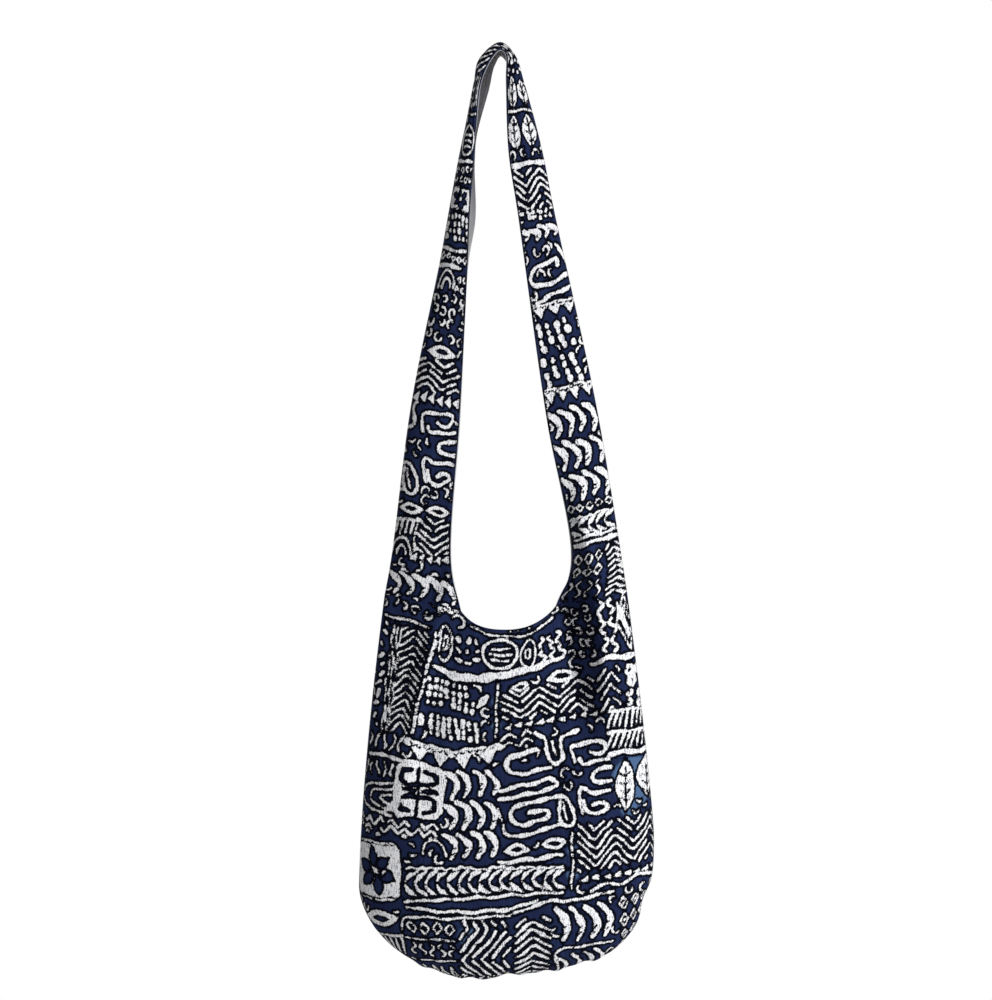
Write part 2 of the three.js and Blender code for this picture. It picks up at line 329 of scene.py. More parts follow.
def strap_edges(face):
    """Stations of the side seam and the hem as x, depth, z, from the left foot over the top to the right."""
    def leg(side):
        corner_x, corner_z = (float(c) for c in mouth_point(face, np.array(side.sign * MOUTH_CORNER)))
        end_x, end_z = (float(c) for c in mouth_point(face, np.array(side.sign * np.pi / 2)))
        foot_x, foot_z = foot_point(side)
        depth = float(body_depth(face, np.array(corner_x), np.array(corner_z)))
        rows = [
            ((foot_x, 0, foot_z), (corner_x, depth, corner_z)),
            ((side.sign * side.end_seam_span, 0, end_z + side.end_tilt), (end_x, face.mouth_depth, end_z)),
        ]
        for drop, seam, tilt, *edges in side.stations:
            span, hem_depth = edges[face.edge]
            rows.append(((side.sign * seam, 0, -drop), (side.sign * span, hem_depth, -drop - tilt)))
        return rows

    top_x, top_z = STRAP_TOP
    top = ((top_x, 0, top_z), (top_x, face.hem_depth, top_z - face.hem_drop))
    rows = leg(LEFT) + [top] + leg(RIGHT)[::-1]
    return [np.array(edge, float) for edge in zip(*rows)]


def strap_surface(face):
    """Strap grid as x, depth, z: seam to hem in straight lines, depth by the rounded section of the strap.

    Near the feet the section blends into that of the body, so that the two grids meet without a step.
    """
    seam_points, hem_points = strap_edges(face)
    fine = np.linspace(0, 1, 4001)
    centre = (catmull_rom(seam_points, fine) + catmull_rom(hem_points, fine)) / 2
    run = run_along(centre)
    length = run[-1]
    t = np.interp(np.linspace(0, length, STRAP_ROWS + 1), run, fine)
    seam, hem = catmull_rom(seam_points, t)[:, None], catmull_rom(hem_points, t)[:, None]
    across = np.linspace(0, 1, STRAP_COLUMNS + 1)[None, :, None]
    grid = lerp(seam, hem, across)
    left = np.arange(STRAP_ROWS + 1)[:, None] < STRAP_ROWS / 2
    rounding = np.where(left, LEFT.side_rounding, RIGHT.side_rounding)
    from_foot = np.linspace(0, length, STRAP_ROWS + 1)
    from_foot = np.minimum(from_foot, length - from_foot)[:, None]
    blend = smooth(from_foot / FOOT_BLEND)
    reach = np.where(blend < 1, seam[..., 0] - MOUTH_CENTRE, 1e6)
    share = (grid[..., 0] - MOUTH_CENTRE) / reach
    body_like = section_share(rounding, share) / section_share(rounding, share[:, -1:])
    section = lerp(body_like, section_share(STRAP_ROUNDING, 1 - across[..., 0]), blend)
    grid[..., 1] = hem[..., 1] * section
    return grid, from_foot


# The distance of each row from its foot is taken from the front for both panels, so their rows ease alike.
front_strap, from_foot = strap_surface(FRONT)
print("strap grid", front_strap.shape[:2], "length", round(float(2 * from_foot.max())), "mm")

# %% [markdown]
# ## Folds, puckers and hems
# Hanging cloth pulls into folds below the points that carry it. The right foot of the strap throws one deep
# fold: a ridge that runs down from the strap, with a hollow on the mouth side. The left foot throws a soft
# ridge. Seams pucker a little, hems are thicker than the cloth, and the strap gathers into pleats where it
# passes the hang point. Each is a height in mm added to the depth.

# %% Fold heights
# A ridge has its line down the cloth, where it rises and fades, and bells: height, place beside it and width.
RIGHT_RIDGE = Sizes(
    z=(-790, -720, -654, -588, -522, -440), x=(116, 111, 106.7, 97, 84, 76),
    top=-450, rise=130, foot=-800, fade=130, bells=((8, 0, 9), (-28, -28, 17), (-9, -54, 18)),
)
LEFT_RIDGE = Sizes(
    z=(-840, -752, -647, -621, -583, -540), x=(-112, -101, -78, -70, -58, -56),
    top=-540, rise=80, foot=-880, fade=200, bells=((6, 0, 10), (-4, 24, 13)),
)
# Slow waves of hanging cloth: height, lengths along x and z, and phase.
WAVES = ((0.9, 23, 61, 0.7), (0.8, 37, -29, 2.1), (0.5, 11, 47, 4.0), (0.35, 7.5, -83, 1.2))
BACK_SHARE = 0.3
FREE_DEPTH = 9.0
SEAM_DEPTH = 4.0
PLEAT_DROP = 190.0
PLEAT_FADE = 170.0
PLEAT_HEIGHT = 1.1
PLEAT_COUNT = 3.2
PLEAT_TWIST = 260.0
STEP = 2.1


def fold(ridge, x, z):
    """A fold: bells side by side across a ridge, rising below its top and fading towards its foot."""
    off = x - np.interp(z, ridge.z, ridge.x)
    strength = smooth((ridge.top - z) / ridge.rise) * smooth((z - ridge.foot) / ridge.fade)
    return strength * sum(height * bump((off - place) / width) for height, place, width in ridge.bells)


def soft_waves(x, z):
    """Slow unevenness of hanging cloth: a few crossed sine waves."""
    return sum(height * np.sin(x / across + z / along + phase) for height, across, along, phase in WAVES)


def drape(face, x, z, depth):
    """All folds of a face, held to nothing at the side seam. The back gives way to the front's folds."""
    free = smooth(depth / FREE_DEPTH)
    folds = fold(RIGHT_RIDGE, x, z) + fold(LEFT_RIDGE, x, z)
    return free * (soft_waves(x, z) + (folds if face is FRONT else -BACK_SHARE * folds))


def seam_pucker(steps_in, along):
    """Small ripples across a seam that die out a few stitches away from it."""
    ripple = np.sin(along / 2.1 + 1.5 * np.sin(along / 9))
    return 0.55 * np.exp(-steps_in * STEP / 7) * ripple * (steps_in > 0)


def hem_ridge(distance):
    """The folded hem: a low step 7 mm wide with a groove where it is stitched down."""
    return 0.45 * (1 - smooth((distance - 6) / 2)) - 0.25 * bump((distance - 4.2) / 1.1)


print("right fold", round(float(fold(RIGHT_RIDGE, 84.0, -620.0)), 1), "mm in its hollow")

# %% [markdown]
# ## One panel as a surface
# The body and strap grids become one welded surface: the strap's first and last rows are points of the
# body's top edge. The outward direction at each point is the mean of the directions of the faces round it.
# Along the seam it is kept in the plane between front and back, so the two panels meet edge to edge.


# %% Panel surface
def grid_quads(index):
    """Four corners of each cell of an index grid, turning so that a front panel faces the viewer."""
    corners = [index[:-1, :-1], index[:-1, 1:], index[1:, 1:], index[1:, :-1]]
    return np.stack(corners, -1).reshape(-1, 4)


def body_shape(face):
    """Body grid in mm: front view from the Coons patch, depth from the section, folds, puckers and hem."""
    plan = body_plan(face)
    x, z = plan[..., 0], plan[..., 1]
    depth = body_depth(face, x, z)
    depth[0] = depth[:, 0] = depth[:, -1] = 0
    row, column = np.indices(depth.shape)
    steps_in = np.minimum(np.minimum(row, column), BODY_COLUMNS - column)
    along = np.where(row == np.minimum(row, np.minimum(column, BODY_COLUMNS - column)), column, row)
    outside = np.maximum(np.maximum(STRAP_COLUMNS - column, column - BODY_COLUMNS + STRAP_COLUMNS), 0)
    to_hem = np.hypot(BODY_ROWS - row, outside) * STEP
    height = drape(face, x, z, depth) + seam_pucker(steps_in, along) + hem_ridge(to_hem)
    y = face.sign * (depth + height * smooth(depth / SEAM_DEPTH) + SEAM_GAP / 2)
    return np.stack([x, y, z], -1), to_hem


def strap_shape(face):
    """Strap grid in mm with its folds, the pleats near the top, puckers and hem."""
    grid = strap_surface(face)[0]
    x, depth, z = np.moveaxis(grid, -1, 0)
    row, column = np.indices(depth.shape)
    width = np.linalg.norm(np.diff(grid, axis=1), axis=2).sum(1, keepdims=True)
    across = column / STRAP_COLUMNS
    to_hem = (1 - across) * width
    near_top = smooth((z + PLEAT_DROP) / PLEAT_FADE)
    pleats = PLEAT_HEIGHT * near_top * np.sin(2 * np.pi * (PLEAT_COUNT * across + z / PLEAT_TWIST))
    height = drape(face, x, z, depth) * (1 - 0.7 * near_top) + pleats
    height = height + seam_pucker(column, row) + hem_ridge(to_hem)
    y = face.sign * (depth + height * smooth(depth / SEAM_DEPTH) + SEAM_GAP / 2)
    return np.stack([x, y, z], -1), to_hem, width


def panel_surface(face):
    """Welded points, index grids and outward directions of one panel."""
    body, body_hem = body_shape(face)
    strap, strap_hem, width = strap_shape(face)
    body_index = np.arange(body[..., 0].size).reshape(body.shape[:2])
    strap_index = np.zeros(strap.shape[:2], int)
    strap_index[1:-1] = body_index.size + np.arange(strap[1:-1, :, 0].size).reshape(-1, STRAP_COLUMNS + 1)
    strap_index[0] = body_index[-1, :STRAP_COLUMNS + 1]
    strap_index[-1] = body_index[-1, ::-1][:STRAP_COLUMNS + 1]
    # The strap's own first rows ease onto the body's edge, which carries the body's folds.
    ease = (1 - smooth(from_foot / FOOT_EASE))[..., None]
    is_left = (np.arange(STRAP_ROWS + 1) < STRAP_ROWS / 2)[:, None, None]
    gaps = [body.reshape(-1, 3)[strap_index[k]] - strap[k] for k in (0, -1)]
    strap = strap + ease * np.where(is_left, *gaps)
    points = np.concatenate([body.reshape(-1, 3), strap[1:-1].reshape(-1, 3)])
    quads = np.concatenate([grid_quads(body_index), grid_quads(strap_index)])
    if face is BACK:
        quads = quads[:, ::-1]
    corner = points[quads]
    face_normal = np.cross(corner[:, 2] - corner[:, 0], corner[:, 3] - corner[:, 1])
    normal = np.stack([
        np.bincount(quads.ravel(), np.repeat(face_normal[:, k], 4), len(points)) for k in range(3)
    ], -1)
    seam = np.concatenate([body_index[0], body_index[:, 0], body_index[:, -1], strap_index[:, 0]])
    normal[seam, 1] = 0
    normal /= np.linalg.norm(normal, axis=1, keepdims=True)
    return Sizes(
        face=face, points=points, normal=normal, body=body_index, strap=strap_index,
        body_hem=body_hem, strap_hem=strap_hem, strap_width=width, body_grid=body, strap_grid=strap,
    )


surfaces = [panel_surface(face) for face in (FRONT, BACK)]
for surface in surfaces:
    low, high = surface.points.min(0), surface.points.max(0)
    print(surface.face.name, "surface", len(surface.points), "points", low.round(1), high.round(1))

# %% [markdown]
# ## Flat cloth coordinates
# A print keeps its scale on the cloth, not in the view: where a side turns away, the same width of cloth
# covers fewer pixels. So each panel gets a chart, which gives cloth coordinates in mm, X to the right and Y
# down as seen from outside. On the body the chart adds up the true length of the surface along rows and
# columns of a lattice. On the strap it is the distance across and along.

# %% Charts
LATTICE = 2.0
LATTICE_X = np.arange(-196, 196 + LATTICE, LATTICE)
LATTICE_Z = np.arange(-1060, -540 + LATTICE, LATTICE)
LEVEL = -800.0


def body_chart(face):
    """Function from front view x, z in mm to cloth X, Y: lengths from the centre line and from one level.

    The back is mirrored, so that its print reads the same way as the front's when it is seen from behind.
    """
    x, z = np.meshgrid(LATTICE_X, LATTICE_Z)
    depth = body_depth(face, x, z)

    def length(axis, start):
        step = np.hypot(LATTICE, np.diff(depth, axis=axis))
        total = np.cumsum(np.insert(step, 0, 0, axis=axis), axis=axis)
        return total - np.take(total, [start], axis=axis)

    across = length(1, int(np.argmin(np.abs(LATTICE_X))))
    along = length(0, int(np.argmin(np.abs(LATTICE_Z - LEVEL)))) + LEVEL
    mirror = 1 if face is FRONT else -1

    def read(values, x, z):
        i = np.clip((x - LATTICE_X[0]) / LATTICE, 0, len(LATTICE_X) - 1.001)
        k = np.clip((z - LATTICE_Z[0]) / LATTICE, 0, len(LATTICE_Z) - 1.001)
        i0, k0 = i.astype(int), k.astype(int)
        low = lerp(values[k0, i0], values[k0, i0 + 1], i - i0)
        high = lerp(values[k0 + 1, i0], values[k0 + 1, i0 + 1], i - i0)
        return lerp(low, high, k - k0)

    def chart(x, z, from_view=False):
        x = np.asarray(x, float) * (mirror if from_view else 1)
        z = np.asarray(z, float)
        return np.stack([mirror * read(across, x, z), -read(along, x, z)], -1)

    return chart


def strap_chart(surface):
    """Cloth coordinates of the strap: X from the left edge as seen from outside, Y down from the top."""
    grid = surface.strap_grid
    centre = grid.mean(1)
    run = run_along(centre)
    top = int(np.argmax(centre[:, 2]))
    down = np.abs(run - run[top])[:, None] + 0 * grid[..., 0]
    across = np.linspace(0, 1, STRAP_COLUMNS + 1)[None] * surface.strap_width
    is_left = (np.arange(len(grid)) < top)[:, None]
    reads_left = is_left if surface.face is FRONT else ~is_left
    return np.where(reads_left, across, surface.strap_width - across), down, reads_left[:, 0], top


for surface in surfaces:
    surface.chart = body_chart(surface.face)
    surface.strap_x, surface.strap_y, surface.reads_left, surface.top = strap_chart(surface)
    print(surface.face.name, "strap legs", [round(float(surface.strap_y[k, 0])) for k in (0, -1)], "mm long")

# %% [markdown]
# ## Strokes of the print
# The print follows the wax-resist way of drawing: white strokes with a dark outline on an indigo ground, in
# blocks of common folk motifs. A stroke is a path with a radius, and a fill is a closed outline. What the
# material needs is one number at each point of the cloth: the signed distance in mm to the nearest white
# edge, below 0 inside. White, outline and ground then come from that number, sharper than the grid that
# carries it.

# %% Distance to strokes and fills
FAR = 9.0
WOBBLE = 1.5
STROKE_SHARE = 0.88


def segment_distance(points, path, radius):
    """Distance from points to a path of tapering segments, less the radius at the nearest place."""
    a, b = path[:-1], path[1:]
    ab = b - a
    ap = points[:, None] - a[None]
    t = np.clip((ap * ab).sum(2) / np.maximum((ab * ab).sum(1), 1e-9), 0, 1)
    gap = np.linalg.norm(ap - t[..., None] * ab, axis=2)
    return (gap - lerp(radius[:-1], radius[1:], t)).min(1)


def fill_distance(points, outline):
    """Signed distance to a closed outline: to its edges, negative where a ray crosses them oddly."""
    edge = segment_distance(points, outline, np.zeros(len(outline)))
    (ax, ay), (bx, by) = outline[:-1].T, outline[1:].T
    px, py = points[:, :1], points[:, 1:]
    crosses = (ay > py) != (by > py)
    rise = np.where(by == ay, 1e-9, by - ay)
    inside = (crosses & (px < (bx - ax) * (py - ay) / rise + ax)).sum(1) % 2 == 1
    return np.where(inside, -edge, edge)


def hand(path):
    """The unsteady hand: a path moved by slow sine waves of its own place."""
    x, y = path[:, 0], path[:, 1]
    dx = np.sin(y / 6.1 + x / 13) + 0.6 * np.sin(x / 3.7 + y / 8.3)
    dy = np.sin(x / 5.3 - y / 11) + 0.6 * np.sin(y / 3.9 - x / 7.1)
    return path + 0.5 * WOBBLE * np.stack([dx, dy], -1)


def pressure(path):
    """The uneven flow of wax: a factor on the radius that wanders along the path."""
    x, y = path[:, 0], path[:, 1]
    return 1 + 0.16 * np.sin(x / 2.9 + y / 5.7) + 0.14 * np.sin(y / 2.3 - x / 6.9)


def dense(path, step=2.5):
    """The same path with points at most a step apart, and each point's share of the length."""
    path = np.asarray(path, float)
    run = run_along(path)
    count = max(2, int(run[-1] / step) + 2)
    share = np.linspace(0, 1, count)
    where = share * run[-1]
    return np.stack([np.interp(where, run, path[:, k]) for k in (0, 1)], -1), share


def rounded(path, cut=3.0):
    """A path with its corners cut twice: each corner becomes two points a few pixels in from it."""
    path = np.asarray(path, float)
    for size in (cut, cut / 3):
        way = np.diff(path, axis=0)
        share = np.minimum(size / np.linalg.norm(way, axis=1), 0.3)[:, None]
        pairs = np.stack([path[:-1] + share * way, path[1:] - share * way], 1).reshape(-1, 2)
        path = np.concatenate([path[:1], pairs, path[-1:]])
    return path


def draw(distance, points, marks):
    """Adds marks to the signed distance in order: white by the lower value, cuts by the higher opposite."""
    for kind, path, radius in marks:
        path, share = dense(path)
        path = hand(path)
        profile = np.atleast_1d(np.asarray(radius, float))
        knots = max(len(profile), 2)
        radii = np.interp(share, np.linspace(0, 1, knots), np.resize(profile, knots))
        radii = STROKE_SHARE * radii * pressure(path)
        low, high = path.min(0) - radii.max() - FAR, path.max(0) + radii.max() + FAR
        near = np.flatnonzero(((points > low) & (points < high)).all(1))
        if len(near) == 0:
            continue
        if kind in ("fill", "cut"):
            gap = fill_distance(points[near], np.concatenate([path, path[:1]]))
        else:
            gap = segment_distance(points[near], path, radii)
        if kind in ("stroke", "fill"):
            distance[near] = np.minimum(distance[near], gap)
        else:
            distance[near] = np.maximum(distance[near], -gap)
    return distance


# %% [markdown]
# ## The motifs
# Each motif fills a box of W by H mm with marks, and knows nothing of where the box lies. It is a generator,
# which hands out one mark at a time with `yield`. All are common folk-cloth motifs: zigzags, leaf sprays,
# crescents, beads, lozenges, scrolls, combs, arches and meanders. Loops over a handful of marks are fine
# here, because each mark is short.

# %% Motifs of lines
THIN = 1.15
rng = np.random.default_rng(7)


def cells(w, h, columns, rows):
    """Centres and sizes of the cells of a box."""
    cw, ch = w / columns, h / rows
    return [((c + 0.5) * cw, (r + 0.5) * ch, cw, ch) for r in range(rows) for c in range(columns)]


def arc(x, y, across, down, angle):
    """Points of an ellipse about a centre, at given angles."""
    return np.stack([x + across * np.cos(angle), y + down * np.sin(angle)], -1)


def diamond(x, y, a, b):
    """Closed diamond about a centre, with half its width and half its height."""
    return [(x - a, y), (x, y - b), (x + a, y), (x, y + b), (x - a, y)]


def runs(path, w, h):
    """The stretches of a path that lie inside the box."""
    x, y = path.T
    inside = (x >= 0) & (x <= w) & (y >= 0) & (y <= h)
    cuts = np.flatnonzero(np.diff(inside.astype(int))) + 1
    return [p for p, keep in zip(np.split(path, cuts), np.split(inside, cuts)) if keep[0] and len(p) > 2]


def chevrons(w, h, period=44.0, rise=10.0, pitch=8.4, shift=0.0, radius=1.5):
    """Zigzag lines one below another: a triangle wave of x down the box, broken at some corners."""
    x = np.arange(0, w + 1, 1.5)
    turns = 2 * (x / period + shift)
    wave = rise * (2 * np.abs(turns % 2 - 1) - 1)
    corner = np.round(turns).astype(int)
    at_corner = np.abs(turns - corner) * period / 2 < 2.4
    for y in np.arange(-rise, h + rise, pitch):
        broken = rng.random(corner.max() + 1) < 0.3
        line = np.stack([x, np.where(at_corner & broken[corner], -1.0, y + wave)], -1)
        for run in runs(line, w, h):
            yield "stroke", run, radius


def herringbone(w, h, pitch=9.5, lean=0.75, radius=1.5):
    """Leaf spray: slanting strokes on both sides of a line down the middle of the box."""
    c = w / 2
    for y in np.arange(-lean * c, h, pitch):
        for s in (-1, 1):
            a, b = np.array([c + s * 1.2, y]), np.array([c + s * (c - 1.5), y + lean * (c - 4)])
            cut = np.clip((0 - a[1]) / (b[1] - a[1]), 0, 1)
            end = np.clip((h - a[1]) / (b[1] - a[1]), 0, 1)
            if end - cut > 0.15:
                stroke = [lerp(a, b, cut), lerp(a, b, end)]
                yield "stroke", stroke, (radius, 1.2 * radius, 0.8 * radius)


def bar(w, h):
    """One white band that fills the height of the box."""
    yield "stroke", [(0, h / 2), (w, h / 2)], (0.42 * h, 0.5 * h, 0.4 * h, 0.5 * h, 0.42 * h)


def sawteeth(w, h, count=5):
    """White band with filled triangles below it and small ticks scored into it."""
    step = w / count
    yield "stroke", [(0, 0.14 * h), (w, 0.14 * h)], 0.18 * h
    for x in step * (np.arange(count) + 0.5):
        tooth = [(x - 0.4 * step, 0.2 * h), (x + 0.46 * step, 0.2 * h), (x + 0.08 * step, 0.9 * h)]
        yield "fill", tooth, 0
    for x in np.arange(4, w - 4, 7.5):
        yield "score", [(x, 0.12 * h), (x + 2.5, 0.26 * h), (x + 5, 0.14 * h)], 0.95


def comb(w, h, count=7):
    """A line with leaning strokes hanging from it."""
    yield "stroke", [(0, 0.08 * h), (w, 0.08 * h)], (2.2, 1.6, 2.0)
    for x in np.linspace(0.08 * w, 0.96 * w, count):
        yield "stroke", [(x, 0.2 * h), (x - 0.07 * w, 0.92 * h)], (1.9, 1.4)


def dashes(w, h, count=9, radius=1.5):
    """A row of short strokes along the longer side of the box."""
    half = 0.23 / count
    for s in (np.arange(count) + 0.5) / count:
        if w >= h:
            yield "stroke", [((s - half) * w, h / 2), ((s + half) * w, h / 2)], radius
        else:
            yield "stroke", [(w / 2, (s - half) * h), (w / 2, (s + half) * h)], radius


def arrows(w, h, count=9):
    """A row of small filled triangles, each pointing at the one before it."""
    step = w / count
    for x in step * np.arange(count):
        tip = (x + rng.uniform(-0.1, 0.1) * step, 0.6 * h)
        yield "fill", [tip, (x + 0.85 * step, -0.1 * h), (x + 0.78 * step, 1.1 * h)], 0


def arches(w, h, count=3):
    """Half rings inside each other, standing on the lower edge of the box."""
    angle = np.linspace(np.pi, 2 * np.pi, 25)
    for k in range(count):
        s = 1 - k / count
        yield "stroke", arc(w / 2, h, 0.48 * w * s, h * s, angle), 1.5


def waves(w, h, count=3, radius=1.3):
    """Wavy lines side by side, running down the box, broken here and there."""
    y = np.linspace(0, h, 60)
    for k in range(count):
        line = np.stack([w * (k + 0.5) / count + 0.2 * w / count * np.sin(y / 3.6 + 2 * k), y], -1)
        for piece in np.array_split(line, max(2, int(h / 24))):
            yield "stroke", piece[1:], (radius, 1.2 * radius, 0.7 * radius)


def nested(w, h, count=3):
    """Long diamonds inside each other."""
    for k in range(count):
        a, b = 0.5 * w * (1 - k / count), 0.5 * h * (1 - 0.8 * k / count)
        yield "stroke", diamond(w / 2, h / 2, a, b), 1.3


def loops(w, h, columns=2):
    """Tall rings, each with a second ring inside."""
    angle = np.linspace(0, 2 * np.pi, 25)
    for x, y, cw, ch in cells(w, h, columns, 1):
        for share in (0.46, 0.16):
            yield "stroke", arc(x, y, share * cw, (share + 0.04) * ch, angle), 1.25


print("a chevron band of 120 x 50 mm has", len(list(chevrons(120.0, 50.0))), "strokes")


# %% Motifs of closed and curled marks
def crescents(w, h, columns, rows, size=1.0):
    """Bent fat strokes that nest in a row: an upper arm, a corner to the right and a notched lower arm."""
    bend = np.array([(-0.5, -0.42), (0.0, -0.28), (0.38, -0.02), (0.34, 0.16), (0.02, 0.42)])
    for x, y, cw, ch in cells(w, h, columns, rows):
        place = (x, y) + rng.uniform(-1.2, 1.2, 2)
        fat = size * min(0.22 * cw, 3.6) * rng.uniform(0.85, 1.15)
        path = place + rounded(bend * rng.uniform(0.88, 1.08) * (cw, ch))
        yield "stroke", path, (0.75 * fat, fat, 1.15 * fat, 1.1 * fat, 0.9 * fat, 0.65 * fat)
        for notch in (0.12, 0.26):
            inner = place + (0.06 * cw, notch * ch)
            yield "score", [inner, inner + (0.2 * cw, -0.05 * ch)], 0.75


def beads(w, h, columns, rows):
    """Strings of beads, two to a column, which lean a little, with a bead left out here and there."""
    for x, y, cw, ch in cells(w, h, 2 * columns, 4 * rows):
        bead = np.array([x + 0.5 * cw * (y / h - 0.5), y]) + rng.uniform(-0.5, 0.5, 2)
        fat = min(0.4 * cw, 0.46 * ch, 4.2) * rng.uniform(0.8, 1.05)
        if rng.random() < 0.92:
            yield "stroke", [bead - (0.2, 0.7), bead + (0.2, 0.7)], fat


def lozenges(w, h, columns, rows):
    """Outlined diamonds with a dot inside."""
    for x, y, cw, ch in cells(w, h, columns, rows):
        a, b = 0.36 * cw, 0.38 * ch
        yield "stroke", diamond(x, y, a, b), THIN
        if min(a, b) > 5:
            yield "stroke", [(x - 0.4, y), (x + 0.4, y)], 1.5


def scrolls(w, h, columns, rows, radius=THIN):
    """S-shaped scrolls: one turn of a sine across the height of each cell."""
    t = np.linspace(-1, 1, 21)
    for k, (x, y, cw, ch) in enumerate(cells(w, h, columns, rows)):
        flip = 1 if k % 2 else -1
        wave = x + flip * 0.32 * cw * np.sin(np.pi * t)
        yield "stroke", np.stack([wave, y + 0.38 * ch * t], -1), radius


def hooks(w, h, columns, rows, radius=THIN):
    """Small open rings, each turned and moved its own way."""
    for x, y, cw, ch in cells(w, h, columns, rows):
        x, y = (x, y) + rng.uniform(-0.2, 0.2, 2) * (cw, ch)
        angle = rng.uniform(0, 2 * np.pi) + np.linspace(0, rng.uniform(3.4, 5.2), 15)
        shrink = np.linspace(1, rng.uniform(0.6, 1.0), 15)
        curl = arc(x, y, 0.33 * cw * shrink, 0.33 * ch * shrink, angle)
        yield "stroke", curl, (radius, 1.15 * radius, 0.9 * radius)


def eyes(w, h, count=1):
    """Pointed ovals in a row, each with a smaller one cut out of it: arcs of a cosine above and below."""
    t = np.linspace(-1, 1, 17)
    half = np.cos(np.pi * t / 2)
    lens = np.concatenate([np.stack([t, -half], -1), np.stack([t, half], -1)[::-1]])
    for x, y, cw, ch in cells(w, h, count, 1):
        yield "fill", (x, y) + lens * (0.48 * cw, 0.46 * ch), 0
        yield "cut", (x, y) + lens * (0.25 * cw, 0.2 * ch), 0


def oval(w, h):
    """A large oval with bars across it."""
    angle = np.linspace(0, 2 * np.pi, 33)
    yield "stroke", arc(w / 2, h / 2, 0.47 * w, 0.46 * h, angle), 1.7
    for y, reach in ((0.33, 0.24), (0.52, 0.3), (0.71, 0.24)):
        yield "stroke", [(w * (0.5 - reach), y * h), (w * (0.5 + reach), (y - 0.03) * h)], 1.5


def ring_box(w, h, inset=0.0):
    """Corners of a box with cut corners, as a closed outline."""
    c = 0.12 * min(w, h)
    low, right, foot = inset, w - inset, h - inset
    top_side = [(low + c, low), (right - c, low), (right, low + c), (right, foot - c)]
    return [*top_side, (right - c, foot), (low + c, foot), (low, foot - c), (low, low + c)]


# %% Motifs of leaves and flowers
def leaf_band(w, h, pitch=11.5):
    """Two rows of slanting leaves that meet at the middle, between a zigzag and a line."""
    x = np.arange(0, w, 1.5)
    edge = np.stack([x, 0.06 * h + 2.2 * np.abs((x / 5.5) % 2 - 1)], -1)
    yield "stroke", edge, 1.6
    yield "stroke", [(0, 0.97 * h), (w, 0.97 * h)], (1.6, 2.0, 1.5)
    for x in np.arange(0, w - 0.6 * pitch, pitch):
        for s in (-1, 1):
            tip = (x + 1.05 * pitch, (0.5 + 0.33 * s) * h)
            mid = (x + 0.32 * pitch, (0.5 + 0.2 * s) * h)
            yield "stroke", [(x, (0.5 + 0.04 * s) * h), mid, tip], (1.2, 2.9, 1.1)


def hook_tree(w, h):
    """Dark plant on a white ground: a stem with pairs of bent arms cut out of a filled box."""
    c = w / 2
    yield "fill", ring_box(w, h, 0.0), 0
    yield "score", [(c, 0.06 * h), (c, 0.94 * h)], 2.2
    arms = (
        [(0.0, 0.36), (0.2, 0.38), (0.36, 0.30), (0.35, 0.13), (0.15, 0.11)],
        [(0.08, 0.49), (0.3, 0.48), (0.38, 0.50)],
        [(0.0, 0.61), (0.2, 0.60), (0.37, 0.67), (0.35, 0.86), (0.14, 0.88)],
    )
    for arm in arms:
        for s in (-1, 1):
            yield "score", [(c + s * x * w, y * h) for x, y in arm], 2.9


def solid_leaf(w, h):
    """White leaf with a dark midrib and veins: a filled pointed oval with strokes cut out."""
    t = np.linspace(0, 1, 15)
    belly = 0.44 * w * np.sin(np.pi * t) ** 0.8
    right, left = (np.stack([w / 2 + s * belly, h * t], -1) for s in (1, -1))
    outline = np.concatenate([right, left[::-1]])
    yield "fill", outline, 0
    yield "score", [(w / 2, 0.12 * h), (w / 2, h)], 1.2
    for y in np.arange(0.3, 0.9, 9 / h):
        for s in (-1, 1):
            yield "score", [(w / 2, y * h + 2), (w / 2 + s * 0.24 * w, y * h - 3)], 1.0


def blossom(w, h):
    """Dark flower on a white ground: petals cut out round a white heart."""
    yield "fill", ring_box(w, h, 1.0), 0
    for angle in np.radians(np.arange(0, 360, 60) + 20):
        way = np.array([0.4 * w * np.cos(angle), 0.4 * h * np.sin(angle)])
        centre = np.array([w / 2, h / 2])
        yield "score", [centre + 0.12 * way, centre + 0.6 * way, centre + way], (1.2, 0.15 * w, 1.2)
    for y in (0.06, 0.94):
        yield "score", [(0.1 * w, y * h), (0.9 * w, y * h)], 1.1
    yield "stroke", [(w / 2 - 0.5, h / 2), (w / 2 + 0.5, h / 2)], 2.2


def blots(w, h, columns=4, rows=2):
    """Uneven white blots: short fat strokes, each at its own slant."""
    for x, y, cw, ch in cells(w, h, columns, rows):
        ends = [(x, y) + rng.uniform(-0.3, 0.3, 2) * (cw, ch) for _ in range(2)]
        yield "stroke", ends, rng.uniform(1.6, 3.0)


print("a leaf band of 120 x 40 mm has", len(list(leaf_band(120.0, 40.0))), "marks")

# %% [markdown]
# ## Laying out the body
# The print is in blocks, as on a cloth made from strips. A block is a motif and the four corners of its
# box, given as places in the photograph's front view: upper left, upper right, lower right, lower left. The
# chart carries the corners to the cloth, and the motif is spread between them, so a block leans and narrows
# as the cloth does.

